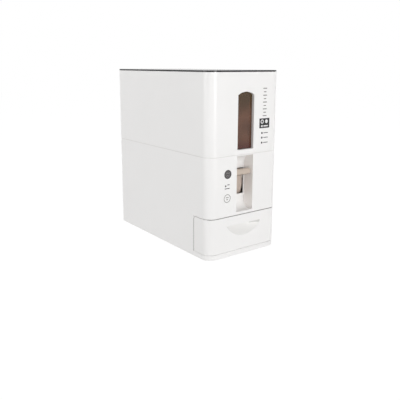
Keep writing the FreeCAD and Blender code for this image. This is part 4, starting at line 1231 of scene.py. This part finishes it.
@dataclass
class Studio:
    """A pale floor, a white surround and soft lamps."""

    surround: float = 0.33
    floor_size: float = 12.0
    floor_colour: str = "#F4F4F4"
    floor_glow: float = 0.92
    floor_strength: float = 1.06
    aim: tuple[float, float, float] = (0.0, 0.0, 0.2)
    lamps: tuple[Softbox, ...] = (
        Softbox("front_softbox", (0.25, -2.6, 0.6), 1.1, 28.0),
        Softbox("top_softbox", (0.0, -0.3, 2.4), 1.6, 3.0),
        Softbox("left_softbox", (-2.43, 0.7, 0.9), 1.8, 25.0),
        Softbox("fill_softbox", (-1.5, -2.0, 0.75), 1.4, 7.5),
    )

    def build(self) -> None:
        """Makes the world, the floor and the lamps."""
        self.build_world()
        self.build_floor()
        for lamp in self.lamps:
            lamp.hang(self.aim)
        bpy.context.scene.view_settings.view_transform = "Standard"
        LOG.info("studio built")

    def shown(self, tree: Tree) -> Socket:
        """Tells the rays that show the background from those that carry its light.

        Args:
            tree: the node tree.

        Returns:
            A value of 1 for what is seen straight, in a gloss or through a pane, and 0 for the rest.
        """
        path = add_node(tree, "ShaderNodeLightPath")
        seen = path.outputs["Is Camera Ray"]
        for name in ("Is Glossy Ray", "Is Transmission Ray"):
            join = {"operation": "MAXIMUM"}
            seen = add_node(tree, "ShaderNodeMath", join, {0: seen, 1: path.outputs[name]}).outputs[0]
        return seen

    def build_world(self) -> None:
        """Makes a surround that shows white and lights the object evenly."""
        world = bpy.data.worlds.new("white surround")
        world.use_nodes = True
        tree = world.node_tree
        tree.nodes.clear()
        level = {"From Min": 0.0, "From Max": 1.0, "To Min": self.surround, "To Max": 1.0}
        strength = add_node(tree, "ShaderNodeMapRange", level, {"Value": self.shown(tree)}).outputs["Result"]
        background = add_node(tree, "ShaderNodeBackground", {"Color": WHITE}, {"Strength": strength})
        add_node(tree, "ShaderNodeOutputWorld", links={"Surface": background.outputs[0]})
        bpy.context.scene.world = world

    def build_floor(self) -> None:
        """Makes the floor, which shows near white and keeps a soft shadow."""
        shape = bmesh.new()
        bmesh.ops.create_grid(shape, x_segments=1, y_segments=1, size=self.floor_size / 2)
        floor = new_piece("floor", shape)
        material = bpy.data.materials.new("studio floor")
        material.use_nodes = True
        tree = material.node_tree
        tree.nodes.clear()
        matt = add_node(tree, "ShaderNodeBsdfDiffuse", {"Color": linear(self.floor_colour)})
        light = {"Color": WHITE, "Strength": self.floor_strength}
        glow = add_node(tree, "ShaderNodeEmission", light)
        share = {"operation": "MULTIPLY", 1: self.floor_glow}
        factor = add_node(tree, "ShaderNodeMath", share, {0: self.shown(tree)}).outputs[0]
        mixed = add_node(
            tree, "ShaderNodeMixShader", links={0: factor, 1: matt.outputs[0], 2: glow.outputs[0]}
        )
        add_node(tree, "ShaderNodeOutputMaterial", links={"Surface": mixed.outputs[0]})
        floor.data.materials.append(material)


@dataclass
class Viewpoint:
    """The camera, given by its place, its heading and its focal length in pixels."""

    place: tuple[float, float, float] = (-0.7121, -0.991, 0.405)
    heading: float = 36.6
    pitch: float = -11.05
    roll: float = 0.16
    focal: float = 511.7
    picture: float = 400.0
    sensor_mm: float = 36.0
    middle_row: float = 165.0

    def build(self) -> None:
        """Makes the camera and hands it to the scene."""
        data = bpy.data.cameras.new("camera")
        data.sensor_width = self.sensor_mm
        data.lens = self.focal * self.sensor_mm / self.picture
        data.shift_y = (self.middle_row - self.picture / 2) / self.picture
        camera = bpy.data.objects.new("camera", data)
        turn = Matrix.Rotation(math.radians(-self.heading), 4, "Z")
        tilt = Matrix.Rotation(math.radians(90 + self.pitch), 4, "X")
        lean = Matrix.Rotation(math.radians(self.roll), 4, "Z")
        camera.matrix_world = Matrix.Translation(self.place) @ turn @ tilt @ lean
        bpy.context.scene.collection.objects.link(camera)
        bpy.context.scene.camera = camera
        LOG.info("camera built")


def new_piece(name: str, shape: bmesh.types.BMesh) -> Object:
    """Turns a finished bmesh into an object of the scene.

    Args:
        name: the piece's name.
        shape: its mesh, which is freed.

    Returns:
        The new object.
    """
    mesh = bpy.data.meshes.new(name)
    shape.to_mesh(mesh)
    shape.free()
    piece = bpy.data.objects.new(name, mesh)
    bpy.context.scene.collection.objects.link(piece)
    return piece


def main() -> None:
    """Builds every sub-assembly, then the studio and the camera."""
    logging.basicConfig(level=logging.INFO, format="%(message)s")
    workshop = Workshop()
    for part in (Housing, Lid, Store, MeasuringGate, Drawer, Base, Fasteners):
        part(workshop).build()
        LOG.info("built %s", part.__name__)
    Studio().build()
    Viewpoint().build()


if __name__ == "__main__":
    main()
